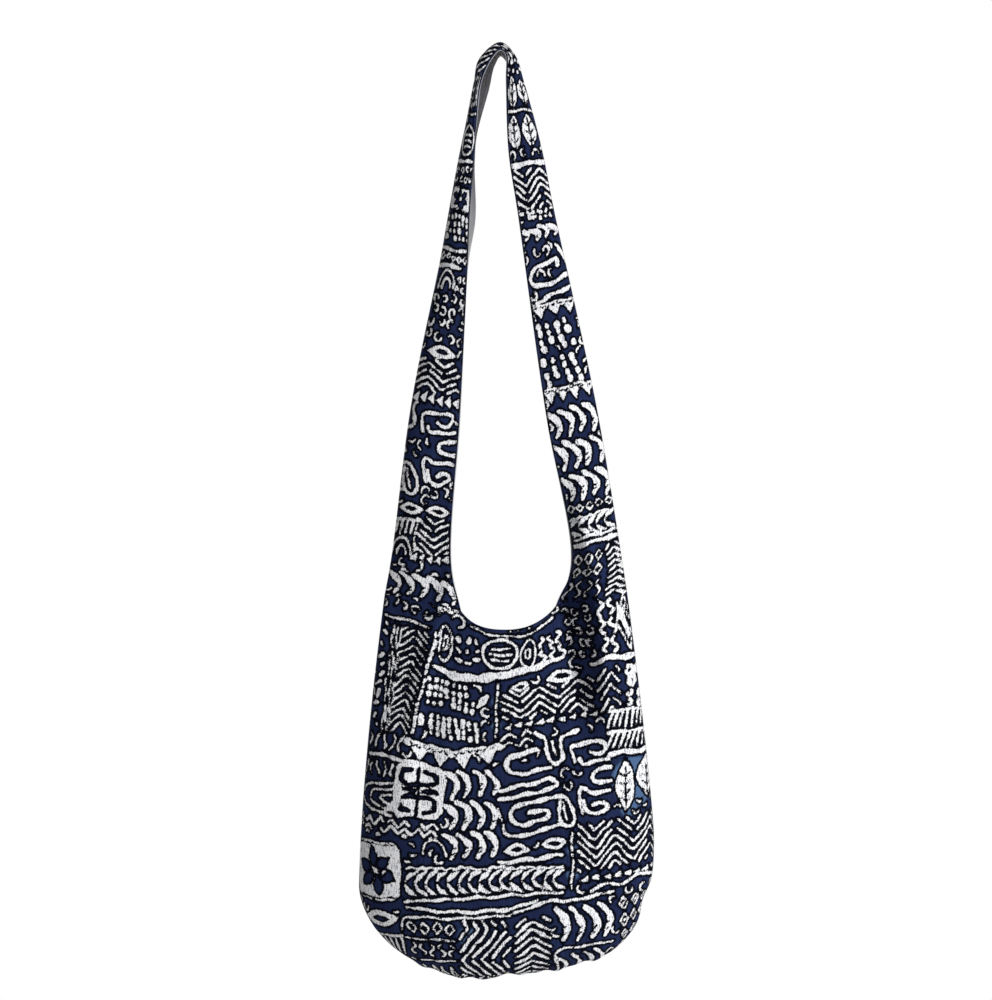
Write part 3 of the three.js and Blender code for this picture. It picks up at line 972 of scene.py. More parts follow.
# %% Blocks of the body
BODY_BLOCKS = {
    "foot_hooks": (hooks, (438, 594, 458, 598, 464, 614, 441, 612), dict(columns=3, rows=2)),
    "left_edge": (blots, (384, 617, 391, 619, 380, 728, 370, 727), dict(columns=1, rows=11)),
    "left_streaks": (waves, (392, 622, 404, 625, 391, 729, 381, 728), dict(count=3, radius=1.05)),
    "left_leaf": (
        herringbone, (402, 625, 432, 632, 410, 731, 389, 728),
        dict(pitch=8.6, lean=1.1, radius=1.15),
    ),
    "left_dashes": (dashes, (435, 630, 439, 631, 414, 732, 410, 731), dict(count=16, radius=1.9)),
    "left_waves": (waves, (370, 731, 408, 734, 405, 748, 368, 746), dict(count=5)),
    "mouth_loops": (loops, (441, 622, 453, 628, 452, 662, 437, 657), dict(columns=1)),
    "mouth_curl": (hooks, (448, 607, 464, 612, 465, 629, 448, 625), dict(columns=1, rows=1, radius=1.4)),
    "mouth_blots": (blots, (455, 632, 481, 636, 480, 666, 455, 664), dict(columns=3, rows=3)),
    "mouth_oval": (oval, (482, 636, 519, 640, 518, 668, 481, 669), {}),
    "mouth_loop_2": (loops, (521, 640, 536, 637, 536, 664, 520, 668), dict(columns=1)),
    "mouth_scrolls": (
        scrolls, (537, 638, 561, 628, 568, 655, 538, 663),
        dict(columns=3, rows=2, radius=1.6),
    ),
    "hollow_hooks": (hooks, (561, 610, 587, 600, 600, 660, 568, 660), dict(columns=3, rows=5, radius=1.05)),
    "right_scrolls": (
        scrolls, (588, 580, 612, 578, 620, 650, 602, 655),
        dict(columns=2, rows=4, radius=2.0),
    ),
    "right_nested": (nested, (612, 594, 629, 592, 640, 648, 620, 651), dict(count=2)),
    "beads_upper": (beads, (429, 673, 477, 686, 474, 713, 424, 702), dict(columns=4, rows=1)),
    "beads_lower": (beads, (430, 711, 480, 720, 479, 741, 427, 732), dict(columns=4, rows=1)),
    "denim_dashes": (dashes, (495, 682, 499, 682, 498, 738, 494, 738), dict(count=9)),
    "chevrons_main": (
        chevrons, (502, 690, 593, 676, 593, 708, 502, 718),
        dict(period=43.0, rise=7.7, pitch=8.4, shift=0.55, radius=1.5),
    ),
    "chevrons_ridge": (
        chevrons, (596, 668, 619, 664, 620, 704, 598, 712),
        dict(period=30.0, rise=10.0, pitch=12.5, radius=1.35),
    ),
    "arrows_main": (arrows, (503, 722, 598, 709, 598, 714, 503, 727), dict(count=9)),
    "lens_main": (eyes, (545, 671, 581, 666, 581, 680, 545, 685), dict(count=1)),
    "lens_small": (eyes, (509, 681, 531, 678, 531, 688, 509, 691), dict(count=1)),
    "zigzag_main": (
        chevrons, (501, 731, 534, 725, 532, 743, 501, 748),
        dict(period=19.0, rise=3.6, pitch=8.5, radius=1.4),
    ),
    "saw_left": (sawteeth, (409, 736, 452, 748, 450, 768, 407, 757), dict(count=2)),
    "saw_right": (sawteeth, (452, 748, 498, 741, 498, 760, 450, 768), dict(count=2)),
    "hooks_right": (hooks, (623, 661, 649, 657, 652, 683, 625, 687), dict(columns=2, rows=2, radius=2.9)),
    "blots_right": (hooks, (626, 687, 651, 684, 652, 702, 624, 706), dict(columns=3, rows=2, radius=2.2)),
    "comb_right": (comb, (608, 708, 652, 703, 653, 722, 606, 727), dict(count=9)),
    "comb_right_2": (comb, (607, 729, 653, 724, 655, 742, 605, 747), dict(count=9)),
    "line_right": (bar, (609, 748, 656, 743, 656, 749, 609, 754), {}),
    "leaf_right": (solid_leaf, (613, 759, 634, 756, 635, 806, 614, 809), {}),
    "leaf_right_2": (solid_leaf, (634, 753, 657, 751, 654, 793, 635, 796), {}),
    "arcs_left": (arches, (364, 776, 365, 808, 393, 812, 394, 780), dict(count=3)),
    "streaks_left": (waves, (367, 756, 396, 762, 396, 775, 366, 770), dict(count=5)),
    "tree_left": (hook_tree, (397, 757, 444, 766, 443, 814, 393, 812), {}),
    "zigzag_left": (
        chevrons, (361, 812, 440, 818, 438, 834, 359, 830),
        dict(period=15.0, rise=4.0, pitch=8.0, radius=1.7),
    ),
    "crescents_body": (crescents, (446, 768, 499, 762, 500, 853, 444, 856), dict(columns=4, rows=3)),
    "eye_one": (eyes, (503, 838, 530, 835, 530, 849, 503, 852), {}),
    "eye_two": (eyes, (539, 832, 567, 828, 567, 842, 539, 846), {}),
    "leaf_band": (leaf_band, (408, 859, 562, 858, 562, 886, 406, 896), {}),
    "chevrons_right": (
        chevrons, (577, 819, 656, 809, 655, 854, 577, 866),
        dict(period=45.0, rise=11.0, pitch=9.4, shift=0.58, radius=1.5),
    ),
    "denim_right": (dashes, (569, 826, 573, 826, 573, 884, 569, 884), dict(count=9)),
    "arrows_right": (arrows, (578, 871, 653, 860, 653, 865, 578, 876), dict(count=8)),
    "blossom_left": (blossom, (358, 836, 402, 838, 403, 897, 361, 895), {}),
    "lozenges_low": (lozenges, (405, 912, 457, 914, 456, 930, 409, 928), dict(columns=4, rows=1)),
    "scrolls_low": (scrolls, (409, 935, 457, 937, 456, 952, 414, 950), dict(columns=5, rows=1)),
    "squares_low": (lozenges, (417, 957, 457, 958, 457, 984, 434, 982), dict(columns=4, rows=1)),
    "line_low_1": (bar, (405, 931, 457, 932, 457, 934, 406, 933), {}),
    "line_low_2": (bar, (412, 953, 457, 954, 457, 956, 413, 955), {}),
    "zigzag_low": (
        chevrons, (511, 914, 509, 992, 459, 990, 461, 914),
        dict(period=74.0, rise=14.0, pitch=10.5, shift=0.39, radius=1.8),
    ),
    "spray_low": (herringbone, (514, 914, 551, 908, 550, 984, 514, 990), dict(pitch=9.5, radius=1.8)),
    "crescents_low": (
        crescents, (555, 898, 611, 891, 611, 933, 555, 939),
        dict(columns=4, rows=1, size=1.1),
    ),
    "leaves_low": (crescents, (558, 946, 606, 940, 602, 968, 558, 980), dict(columns=4, rows=1, size=0.8)),
    "lozenges_right": (lozenges, (615, 890, 648, 884, 642, 936, 615, 948), dict(columns=3, rows=4)),
    "eyes_left": (eyes, (364, 903, 401, 905, 402, 922, 370, 920), dict(count=1)),
    "comb_left": (comb, (374, 927, 403, 928, 410, 952, 388, 948), dict(count=6)),
}

# The large rounded meander, as paths in the front view.
MEANDER = {
    "meander_loop": ([
        (535, 730), (545, 736), (549, 757), (553, 761), (560, 758), (563, 754), (559, 738), (564, 731),
        (578, 729),
    ], 2.2),
    "meander_tongue": ([(552, 739), (555, 751)], 1.4),
    "meander_clasp": ([
        (538, 753), (540, 746), (512, 752), (505, 759), (508, 768), (522, 770), (549, 763),
    ], (1.6, 3.1, 3.3, 2.8, 2.4, 2.4, 2.3)),
    "meander_bar": (
        [(499, 786), (530, 779), (552, 774), (559, 779), (555, 783), (530, 789), (499, 795)],
        2.4,
    ),
    "meander_spiral": ([
        (559, 791), (530, 797), (513, 802), (509, 809), (512, 816), (523, 819), (543, 814), (549, 808),
        (545, 803), (527, 808),
    ], 2.5),
    "meander_ring": (
        [(559, 791), (565, 792), (572, 803), (574, 817), (566, 822), (560, 817), (558, 797)],
        2.1,
    ),
    "meander_slot": ([(562, 797), (566, 815)], 1.3),
    "meander_foot": (
        [(559, 818), (530, 828), (515, 831), (505, 829), (502, 821), (499, 804)],
        (2.2, 2.3, 2.3, 1.6, 1.2),
    ),
    "curl_upper": ([
        (573, 759), (569, 743), (601, 738), (605, 744), (601, 750), (594, 752), (588, 749),
    ], (1.3, 2.0, 2.8, 2.7, 2.3, 2.2, 1.4)),
    "curl_under": ([(578, 755), (581, 760), (594, 759), (608, 755)], 2.2),
    "curl_hook": ([(609, 764), (594, 767), (589, 773), (595, 779), (609, 777)], 2.4),
    "curl_flag": (
        [(582, 807), (578, 796), (577, 785), (581, 783), (588, 788), (609, 787)],
        (1.8, 1.9, 2.3, 2.4, 2.3),
    ),
    "curl_lower": (
        [(583, 797), (585, 806), (592, 810), (603, 806), (608, 800), (599, 796), (592, 801)],
        2.4,
    ),
}

# Free strokes of the body: thin lines and thick bands, as paths in the front view.
BODY_PATHS = {
    "left_line": ([(386, 614), (410, 620), (431, 627)], (1.2, 1.5, 1.0)),
    "mouth_band": (
        [(435, 665), (458, 676), (482, 677), (505, 673), (530, 668), (563, 656)],
        (2.2, 5.4, 5.0, 4.6, 3.6, 1.6),
    ),
    "mouth_line": ([(470, 626), (486, 633), (507, 636), (530, 634), (552, 617)], 1.2),
    "right_line": ([(591, 664), (605, 657), (641, 654)], (2.0, 3.6, 3.4)),
    "tree_root": ([(386, 806), (398, 799), (401, 786)], (2.0, 5.5, 3.5)),
    "moon": ([(424, 848), (427, 836), (436, 832), (444, 838), (446, 850)], 1.3),
    "neck_line": ([(438, 574), (440, 595), (439, 614)], 1.2),
    "lens_right": ([(616, 602), (622, 618), (628, 634)], (1.4, 5.0, 1.4)),
    "petal_right": ([(479, 705), (484, 699), (487, 694)], (3.0, 5.0, 3.2)),
    "petal_left": ([(421, 714), (421, 720)], (3.4, 4.2)),
    "sprig_line": ([(370, 751), (412, 758), (440, 765), (446, 772), (443, 800)], (1.8, 2.6, 2.6, 1.8, 1.4)),
    "bar_leaf": ([(498, 856), (530, 853), (562, 848)], (2.2, 3.0, 2.2)),
    "bar_low_left": ([(407, 901), (460, 905), (511, 902), (538, 893)], (1.5, 2.0, 2.4, 1.6)),
    "bar_low_right": (
        [(515, 906), (553, 892), (563, 895), (591, 890), (612, 885)],
        (1.3, 2.2, 1.8, 2.2, 1.4),
    ),
    "box_low": ([(555, 978), (555, 944), (611, 936)], 1.6),
    "box_top": ([(404, 924), (405, 910), (457, 911), (511, 908)], 1.5),
    "wave_right": ([(589, 885), (605, 876), (620, 881), (635, 870), (652, 871)], 1.8),
}


def meander(w, h, left, right, top, foot):
    """The part of the meander inside a window of the front view, fitted to the box."""
    for path, radius in MEANDER.values():
        fitted = (dense(rounded(path), 1.5)[0] - (left, top)) / (right - left, foot - top) * (w, h)
        for run in runs(fitted, w, h):
            yield "stroke", run, np.mean(radius)


# Light blue patches of the body: place in the front view and radius, in pixels.
DENIM_SPOTS = {
    "zigzag_patch": (468, 928, 9),
    "leaf_patch": (634, 778, 25),
    "leaf_patch_low": (628, 803, 10),
    "dash_line": (497, 700, 5),
    "dash_line_low": (496, 722, 5),
    "side_line": (571, 845, 5),
    "side_line_low": (571, 868, 5),
}
print(len(BODY_BLOCKS), "blocks and", len(BODY_PATHS), "free strokes on the body")

# %% [markdown]
# ## Laying out the strap
# The strap's print runs in bands across it. A band is a motif between two levels of the photograph, and the
# share of the strap's width that it takes, counted from the left edge as seen from outside.

# %% Bands of the strap
LEFT_BANDS = [
    (chevrons, 47, 76, 0, 1, dict(period=60.0, rise=6.0, pitch=8.5, radius=1.5)),
    (blots, 78, 112, 0, 1, dict(columns=4, rows=4)),
    (dashes, 114, 120, 0, 1, dict(count=5)),
    (oval, 128, 160, 0.08, 0.92, {}),
    (bar, 162, 166, 0, 1, {}),
    (hooks, 168, 186, 0, 1, dict(columns=4, rows=2)),
    (blossom, 189, 214, 0.05, 0.95, {}),
    (beads, 216, 244, 0, 1, dict(columns=3, rows=1)),
    (bar, 250, 254, 0, 1, {}),
    (lozenges, 256, 264, 0, 1, dict(columns=5, rows=1)),
    (bar, 266, 271, 0.05, 0.75, {}),
    (arches, 273, 290, 0.1, 0.6, dict(count=2)),
    (hooks, 276, 292, 0.62, 1, dict(columns=2, rows=2, radius=1.3)),
    (hooks, 294, 344, 0, 1, dict(columns=4, rows=4, radius=1.3)),
    (eyes, 346, 361, 0.12, 0.88, {}),
    (chevrons, 361, 393, 0, 1, dict(period=38.0, rise=6.0, pitch=8.0, shift=0.1, radius=1.5)),
    (arrows, 395, 405, 0, 1, dict(count=6)),
    (meander, 406, 502, 0, 1, dict(left=556, right=611, top=733, foot=827)),
    (eyes, 504, 516, 0.02, 0.98, dict(count=2)),
    (chevrons, 517, 553, 0.42, 1.0, dict(period=40.0, rise=7.0, pitch=8.2, shift=0.5, radius=1.5)),
    (dashes, 517, 553, 0.34, 0.42, dict(count=7)),
    (comb, 520, 536, 0, 0.32, dict(count=4)),
    (arches, 538, 555, 0, 0.32, dict(count=2)),
    (arrows, 554, 561, 0.3, 1.0, dict(count=5)),
    (chevrons, 562, 573, 0, 1, dict(period=36.0, rise=5.0, pitch=20.0)),
    (crescents, 574, 599, 0, 1, dict(columns=5, rows=1)),
]
RIGHT_BANDS = [
    (blots, 46, 78, 0, 1, dict(columns=4, rows=4)),
    (solid_leaf, 80, 110, 0.02, 0.5, {}),
    (solid_leaf, 82, 109, 0.5, 0.98, {}),
    (bar, 112, 115, 0, 1, {}),
    (solid_leaf, 117, 152, 0.0, 0.46, {}),
    (solid_leaf, 119, 150, 0.48, 0.96, {}),
    (bar, 163, 169, 0.04, 0.96, {}),
    (chevrons, 171, 210, 0, 1, dict(period=44.0, rise=8.5, pitch=9.0, shift=0.6, radius=1.6)),
    (blots, 211, 222, 0, 1, dict(columns=6, rows=2)),
    (crescents, 228, 240, 0, 1, dict(columns=4, rows=1)),
    (meander, 248, 301, 0, 1, dict(left=502, right=548, top=733, foot=784)),
    (sawteeth, 303, 318, 0, 1, dict(count=3)),
    (beads, 321, 350, 0.03, 0.85, dict(columns=2, rows=1)),
    (beads, 355, 384, 0.03, 0.85, dict(columns=2, rows=1)),
    (sawteeth, 386, 402, 0, 1, dict(count=4)),
    (crescents, 405, 436, 0, 1, dict(columns=4, rows=1)),
    (crescents, 438, 468, 0, 1, dict(columns=4, rows=1)),
    (crescents, 470, 498, 0, 1, dict(columns=4, rows=1)),
    (lozenges, 500, 510, 0, 1, dict(columns=5, rows=1)),
    (leaf_band, 512, 535, 0, 1, {}),
    (bar, 538, 543, 0, 1, {}),
    (lozenges, 549, 575, 0.02, 0.62, dict(columns=3, rows=2)),
    (scrolls, 576, 598, 0.02, 0.62, dict(columns=4, rows=1)),
    (herringbone, 547, 598, 0.66, 1.0, dict(pitch=7.0)),
]
print(len(LEFT_BANDS) + len(RIGHT_BANDS), "bands on the strap")


# %% Placing the marks on the cloth
GAP_LEAST = 7.2
GAP_MARKS = 70
GAP_MARGIN = 2.6
GAP_HOOK = 4.5
# Width in mm of the dark border of painted shade along the folded hem edge.
HEM_SHADE_BORDER = 1.9


def spread(corners, motif, settings):
    """A motif's marks between four corners on the cloth: a bilinear blend of the corners."""
    ul, ur, lr, ll = np.asarray(corners, float)
    w = (np.linalg.norm(ur - ul) + np.linalg.norm(lr - ll)) / 2
    h = (np.linalg.norm(ll - ul) + np.linalg.norm(lr - ur)) / 2
    marks = []
    for kind, path, radius in motif(float(w), float(h), **settings):
        s, t = (np.asarray(path, float) / (w, h)).T[..., None]
        marks.append((kind, lerp(lerp(ul, ur, s), lerp(ll, lr, s), t), radius))
    return marks


def fill_gaps(distance, points, least, count):
    """Small hooks in empty places, one at a time, until no gap is wider than the least one."""
    for _ in range(count):
        empty = np.flatnonzero(distance > least)
        if len(empty) == 0:
            break
        pick = empty[rng.integers(len(empty))]
        size = min(distance[pick] - GAP_MARGIN, GAP_HOOK)
        angle = rng.uniform(0, 2 * np.pi) + np.linspace(0, rng.uniform(1.0, 4.4), 9)
        hook = arc(*points[pick], size, size, angle)
        draw(distance, points, [("stroke", hook, (1.1, 1.5, 1.1))])
    return distance


def body_marks(surface):
    """All marks of the body, in its chart."""
    marks = []
    for motif, corners, settings in BODY_BLOCKS.values():
        px, py = np.reshape(corners, (4, 2)).T
        marks += spread(surface.chart(*seen(px, py), from_view=True), motif, settings)
    for path, radius in [*BODY_PATHS.values(), *MEANDER.values()]:
        px, py = rounded(path).T
        marks.append(("stroke", surface.chart(*seen(px, py), from_view=True), radius))
    return marks


def strap_marks(surface, bands, rows):
    """All marks of one leg of the strap: bands between levels, in across and down coordinates."""
    order = np.argsort(surface.strap_y[rows, 0])
    down = surface.strap_y[rows, 0][order]
    level = surface.strap_grid[rows].mean(1)[order, 2]
    width = surface.strap_width[rows, 0][order]
    marks = []
    for motif, top, foot, start, stop, settings in bands:
        y = np.interp(-seen(0, np.array([top, foot]))[1], -level, down)
        w = np.interp(y, down, width)
        corners = [(start * w[0], y[0]), (stop * w[0], y[0]), (stop * w[1], y[1]), (start * w[1], y[1])]
        marks += spread(corners, motif, settings)
    return marks


def paint_hem_shade(distance, to_hem):
    """Paints shade along the folded hem edge: keeps white off the hem, the distance is at least what is left
    of a dark border of painted shade.
    """
    return np.maximum(distance, HEM_SHADE_BORDER - to_hem)


for surface in surfaces:
    body_xy = surface.chart(surface.body_grid[..., 0], surface.body_grid[..., 2])
    body_wax = draw(np.full(body_xy[..., 0].size, FAR), body_xy.reshape(-1, 2), body_marks(surface))
    body_wax = fill_gaps(body_wax, body_xy.reshape(-1, 2), GAP_LEAST, GAP_MARKS)
    # The hem keeps a dark border of painted shade, standing for the shadow of its folded edge.
    body_wax = paint_hem_shade(body_wax.reshape(surface.body.shape), surface.body_hem)
    strap_xy = np.stack([surface.strap_x, surface.strap_y], -1)
    strap_wax = np.full(surface.strap.shape, FAR)
    for reads_left, bands in ((True, LEFT_BANDS), (False, RIGHT_BANDS)):
        rows = np.flatnonzero(surface.reads_left == reads_left)
        marks = strap_marks(surface, bands, rows)
        leg = draw(strap_wax[rows].ravel(), strap_xy[rows].reshape(-1, 2), marks)
        leg = fill_gaps(leg, strap_xy[rows].reshape(-1, 2), GAP_LEAST, GAP_MARKS)
        strap_wax[rows] = leg.reshape(len(rows), -1)
    strap_wax = paint_hem_shade(strap_wax, surface.strap_hem)
    surface.wax = np.concatenate([body_wax.ravel(), strap_wax[1:-1].ravel()])
    spots = np.array(list(DENIM_SPOTS.values()), float)
    centres = surface.chart(*seen(spots[:, 0], spots[:, 1]), from_view=True)
    gap = np.linalg.norm(body_xy.reshape(-1, 1, 2) - centres, axis=2) - spots[:, 2] * PIXEL
    surface.denim = np.concatenate([gap.min(1), np.full(strap_wax[1:-1].size, FAR)])
    surface.body_xy, surface.strap_xy = body_xy, strap_xy
    print(surface.face.name, "white share", round(float((surface.wax < 0).mean()), 2))

# %% [markdown]
# ## Closing a sheet
# Cloth has two sides and an edge. The outer side takes every point of the grid. The inner side takes every
# second point, moved inwards by the cloth's thickness, because nobody sees it and the triangles are better
# spent outside. Five-sided faces close the edge between two outer steps and one inner step.


# %% Closed sheets of cloth
# Which blocks of a sheet's faces lie on the strap: outside and inside of body and strap, then the six rims.
OUTSIDE_AND_INSIDE = [False, True, False, True]
RIMS_ON_STRAP = [False, False, True, False, False, True]
STRAP_BLOCKS = OUTSIDE_AND_INSIDE + RIMS_ON_STRAP


def rim_paths(surface):
    """Open edges of the surface along its faces: bottom, right side, strap seam, left side, mouth, hem."""
    body, strap = surface.body, surface.strap
    mouth = body[-1, STRAP_COLUMNS:BODY_COLUMNS - STRAP_COLUMNS + 1]
    return [body[0], body[:, -1], strap[::-1, 0], body[::-1, 0], mouth[::-1], strap[:, -1]]


def thinned(surface):
    """Index grids with every second point."""
    return Sizes(body=surface.body[::2, ::2], strap=surface.strap[::2, ::2])


def closed_sheet(surface, outer_depth, thickness, fine):
    """Points and faces of a shell between two depths under the surface, and each point's source on it."""
    coarse = thinned(surface)
    outer = surface if fine else coarse
    inner_used = np.unique(np.concatenate([coarse.body.ravel(), coarse.strap.ravel()]))
    outer_used = np.arange(len(surface.points)) if fine else inner_used
    to_outer, to_inner = np.full((2, len(surface.points)), -1)
    to_outer[outer_used] = np.arange(len(outer_used))
    to_inner[inner_used] = len(outer_used) + np.arange(len(inner_used))
    points = np.concatenate([
        surface.points[outer_used] - outer_depth * surface.normal[outer_used],
        surface.points[inner_used] - (outer_depth + thickness) * surface.normal[inner_used],
    ])
    outside = [to_outer[grid_quads(outer.body)], to_outer[grid_quads(outer.strap)]]
    inside = [to_inner[grid_quads(coarse.body)][:, ::-1], to_inner[grid_quads(coarse.strap)][:, ::-1]]
    rims = []
    for path in rim_paths(surface):
        a, b, c = path[:-1:2], path[1::2], path[2::2]
        loop = [to_outer[a], to_inner[a], to_inner[c], to_outer[c]] + ([to_outer[b]] if fine else [])
        rims.append(np.stack(loop, -1))
    faces = outside + inside + rims
    if surface.face is BACK:
        faces = [block[:, ::-1] for block in faces]
    return points, faces, np.concatenate([outer_used, inner_used]), len(outer_used)


def cloth_coordinates(surface, strap_part):
    """Cloth X, Y of every surface point in mm. On the shared edge the strap or the body gives the value."""
    xy = np.concatenate([surface.body_xy.reshape(-1, 2), surface.strap_xy[1:-1].reshape(-1, 2)])
    if strap_part:
        xy[surface.strap[0]] = surface.strap_xy[0]
        xy[surface.strap[-1]] = surface.strap_xy[-1]
    return xy


def add_mesh(name, points, faces):
    """A mesh object at the origin from points in mm and blocks of faces, shaded smooth."""
    mesh = bpy.data.meshes.new(name)
    mesh.from_pydata((points * MM).tolist(), [], [face for block in faces for face in block.tolist()])
    mesh.polygons.foreach_set("use_smooth", np.ones(len(mesh.polygons), bool))
    mesh.update()
    piece = bpy.data.objects.new(name, mesh)
    bpy.context.scene.collection.objects.link(piece)
    return piece


def add_attribute(piece, name, values):
    """One number at each point of a piece."""
    piece.data.attributes.new(name, "FLOAT", "POINT").data.foreach_set("value", values.astype(np.float32))


def cloth_piece(surface, name, outer_depth, thickness, fine):
    """A closed sheet as a Blender object, with its UV map in metres of cloth."""
    points, faces, source, outer_count = closed_sheet(surface, outer_depth, thickness, fine)
    piece = add_mesh(name, points, faces)
    corner_source = source[np.concatenate([block.ravel() for block in faces])]
    on_strap = np.repeat(STRAP_BLOCKS, [block.size for block in faces])
    body_xy, strap_xy = (cloth_coordinates(surface, part)[corner_source] for part in (False, True))
    uv = np.where(on_strap[:, None], strap_xy, body_xy)
    piece.data.uv_layers.new(name="cloth").data.foreach_set("uv", (uv * MM).astype(np.float32).ravel())
    outer = np.arange(len(source)) < outer_count
    return piece, source, outer


# %% [markdown]
# ## The four cuts of cloth
# The panels carry the print as point attributes. The linings lie just inside them and show only where the
# strap's fold gapes and inside the mouth. Each cut stands for its CAD solid, which is hidden but stays in the
# scene. Each cut stands for its CAD solid, which stays for collision.

# %% Panels and linings
pieces = {}
for surface in surfaces:
    name = surface.face.name
    panel, source, outer = cloth_piece(surface, f"{name}_panel_cloth", 0.0, CLOTH, True)
    add_attribute(panel, "wax", np.where(outer, surface.wax[source], FAR))
    add_attribute(panel, "denim", np.where(outer, surface.denim[source], FAR))
    lining = cloth_piece(surface, f"{name}_lining_cloth", CLOTH + LAYER_GAP, LINING, False)[0]
    pieces[f"{name}_panel"], pieces[f"{name}_lining"] = panel, lining
    for piece in (panel, lining):
        triangles = sum(len(p.vertices) - 2 for p in piece.data.polygons)
        print(piece.name, triangles, "triangles")

# %% [markdown]
# ## Topstitching
# The hems of the mouth and strap are turned in and sewn down with dark thread, about three stitches to the
# centimetre. Each stitch is a tiny spindle: four rings of five points, higher in the middle and sunk at
# both ends where the thread goes down. The rings of all stitches are worked out in one array.

# %% Stitches along the hems
STITCH_PITCH = 3.4
STITCH_LENGTH = 2.5
STITCH_INSET = 2
RING_PLACE = np.array([0.0, 0.25, 0.75, 1.0])
RING_RADIUS = np.array([0.10, 0.30, 0.30, 0.10])
RING_LIFT = np.array([-0.12, 0.16, 0.16, -0.12])
RING_SIDES = 5


def hem_line(surface):
    """Closed line of surface points beside the hem: along the strap, then back along the mouth."""
    strap = surface.strap[2:-2, -1 - STITCH_INSET]
    mouth = surface.body[-1 - STITCH_INSET, STRAP_COLUMNS + 1:BODY_COLUMNS - STRAP_COLUMNS]
    line = np.concatenate([strap, mouth[::-1]])
    return np.append(line, line[0])


def spindles(line, normal, pitch, length):
    """Points of the stitches on a line: rings round the line's direction, lifted along the cloth's normal."""
    run = run_along(line)
    start = np.arange(0, run[-1] - length, pitch)
    place = start[:, None] + RING_PLACE * length

    def at(values, where):
        return np.stack([np.interp(where, run, values[:, k]) for k in range(3)], -1)

    up = at(normal, place)
    up /= np.linalg.norm(up, axis=-1, keepdims=True)
    way = at(line, place + 0.3) - at(line, place - 0.3)
    side = np.cross(way, up)
    side /= np.linalg.norm(side, axis=-1, keepdims=True)
    angle = 2 * np.pi * np.arange(RING_SIDES) / RING_SIDES
    centre = at(line, place) + up * RING_LIFT[None, :, None]
    radius = RING_RADIUS[None, :, None, None]
    ring = np.cos(angle)[:, None] * up[:, :, None] + np.sin(angle)[:, None] * side[:, :, None]
    return centre[:, :, None] + radius * ring


def tube_faces(count, rings):
    """Side quads and end caps of many equal tubes of five-sided rings."""
    index = np.arange(count * rings * RING_SIDES).reshape(count, rings, RING_SIDES)
    ahead = np.roll(index, -1, axis=2)
    sides = np.stack([index[:, :-1], index[:, 1:], ahead[:, 1:], ahead[:, :-1]], -1).reshape(-1, 4)
    return [sides[:, ::-1], index[:, 0, ::-1], index[:, -1]]


for surface in surfaces:
    line = hem_line(surface)
    rings = spindles(surface.points[line], surface.normal[line], STITCH_PITCH, STITCH_LENGTH)
    name = f"{surface.face.name}_stitches"
    pieces[name] = add_mesh(name, rings.reshape(-1, 3), tube_faces(len(rings), len(RING_PLACE)))
    print(name, len(rings), "stitches")

# %% [markdown]
# ## Shader sums as Python
# A material is easier to read as sums than as a web of nodes. One small class wraps an output socket, so
# that `1 - mask` adds a Math node, and its `node` method adds any other node: settings first, then the
# sockets.


# %% Socket class
class Value:
    """An output socket of a node tree that can be used in Python sums."""

    def __init__(self, tree, socket=None):
        self.tree = tree
        self.socket = socket

    def node(self, kind, settings=None, inputs=None, out=0):
        """Adds a node of any type: settings such as an operation, then values or links by socket name."""
        made = self.tree.nodes.new(kind)
        for key, value in (settings or {}).items():
            setattr(made, key, value)
        for key, value in (inputs or {}).items():
            target = next(s for s in made.inputs if key in (s.identifier, s.name))
            if isinstance(value, Value):
                self.tree.links.new(value.socket, target)
            else:
                target.default_value = value
        named = [s for s in made.outputs if out in (s.identifier, s.name)]
        return Value(self.tree, named[0] if named else made.outputs[out])

    def maths(self, operation, first, second):
        return self.node("ShaderNodeMath", {"operation": operation}, {"Value": first, "Value_001": second})

    def __add__(self, other):
        return self.maths("ADD", self, other)

    __radd__ = __add__

    def __mul__(self, other):
        return self.maths("MULTIPLY", self, other)

    __rmul__ = __mul__

    def __sub__(self, other):
        return self.maths("SUBTRACT", self, other)

    def __rsub__(self, other):
        return self.maths("SUBTRACT", other, self)

    def __truediv__(self, other):
        return self.maths("DIVIDE", self, other)

    def sine(self):
        return self.maths("SINE", self, 0.0)

    def clamped(self):
        return self.node("ShaderNodeClamp", None, {"Value": self})

    def mix(self, low, high):
        """Colour low where this value is 0 and high where it is 1."""
        sockets = {"Factor_Float": self, "A_Color": low, "B_Color": high}
        return self.node("ShaderNodeMix", {"data_type": "RGBA"}, sockets, "Result_Color")


def colour(red, green, blue):
    """Linear colour of an sRGB colour given in 0 to 255."""
    share = np.array([red, green, blue]) / 255
    linear = np.where(share <= 0.04045, share / 12.92, ((share + 0.055) / 1.055) ** 2.4)
    return (*linear.tolist(), 1.0)


def new_material(name):
    """An empty material: its tree's start for sums, and its surface shader."""
    material = bpy.data.materials.new(name)
    material.use_nodes = True
    shader = material.node_tree.nodes["Principled BSDF"]
    return material, Value(material.node_tree), shader


def feed(start, shader, **sockets):
    """Links values to the shader's sockets, named with underscores for spaces."""
    for key, value in sockets.items():
        start.tree.links.new(value.socket, shader.inputs[key.replace("_", " ")])


# %% [markdown]
# ## Woven cloth
# Both cloths are plain weaves: threads over and under at a pitch of under a millimetre, with slubs, which
# are thick places in the yarn, showing as faint streaks. The UV map is in metres of cloth, so the pitch is
# a real size. The weave is a bump, and the slubs shade the colour and the roughness.

# %% Weave and slubs
CANVAS_PITCH = 0.0008
LINING_PITCH = 0.0006


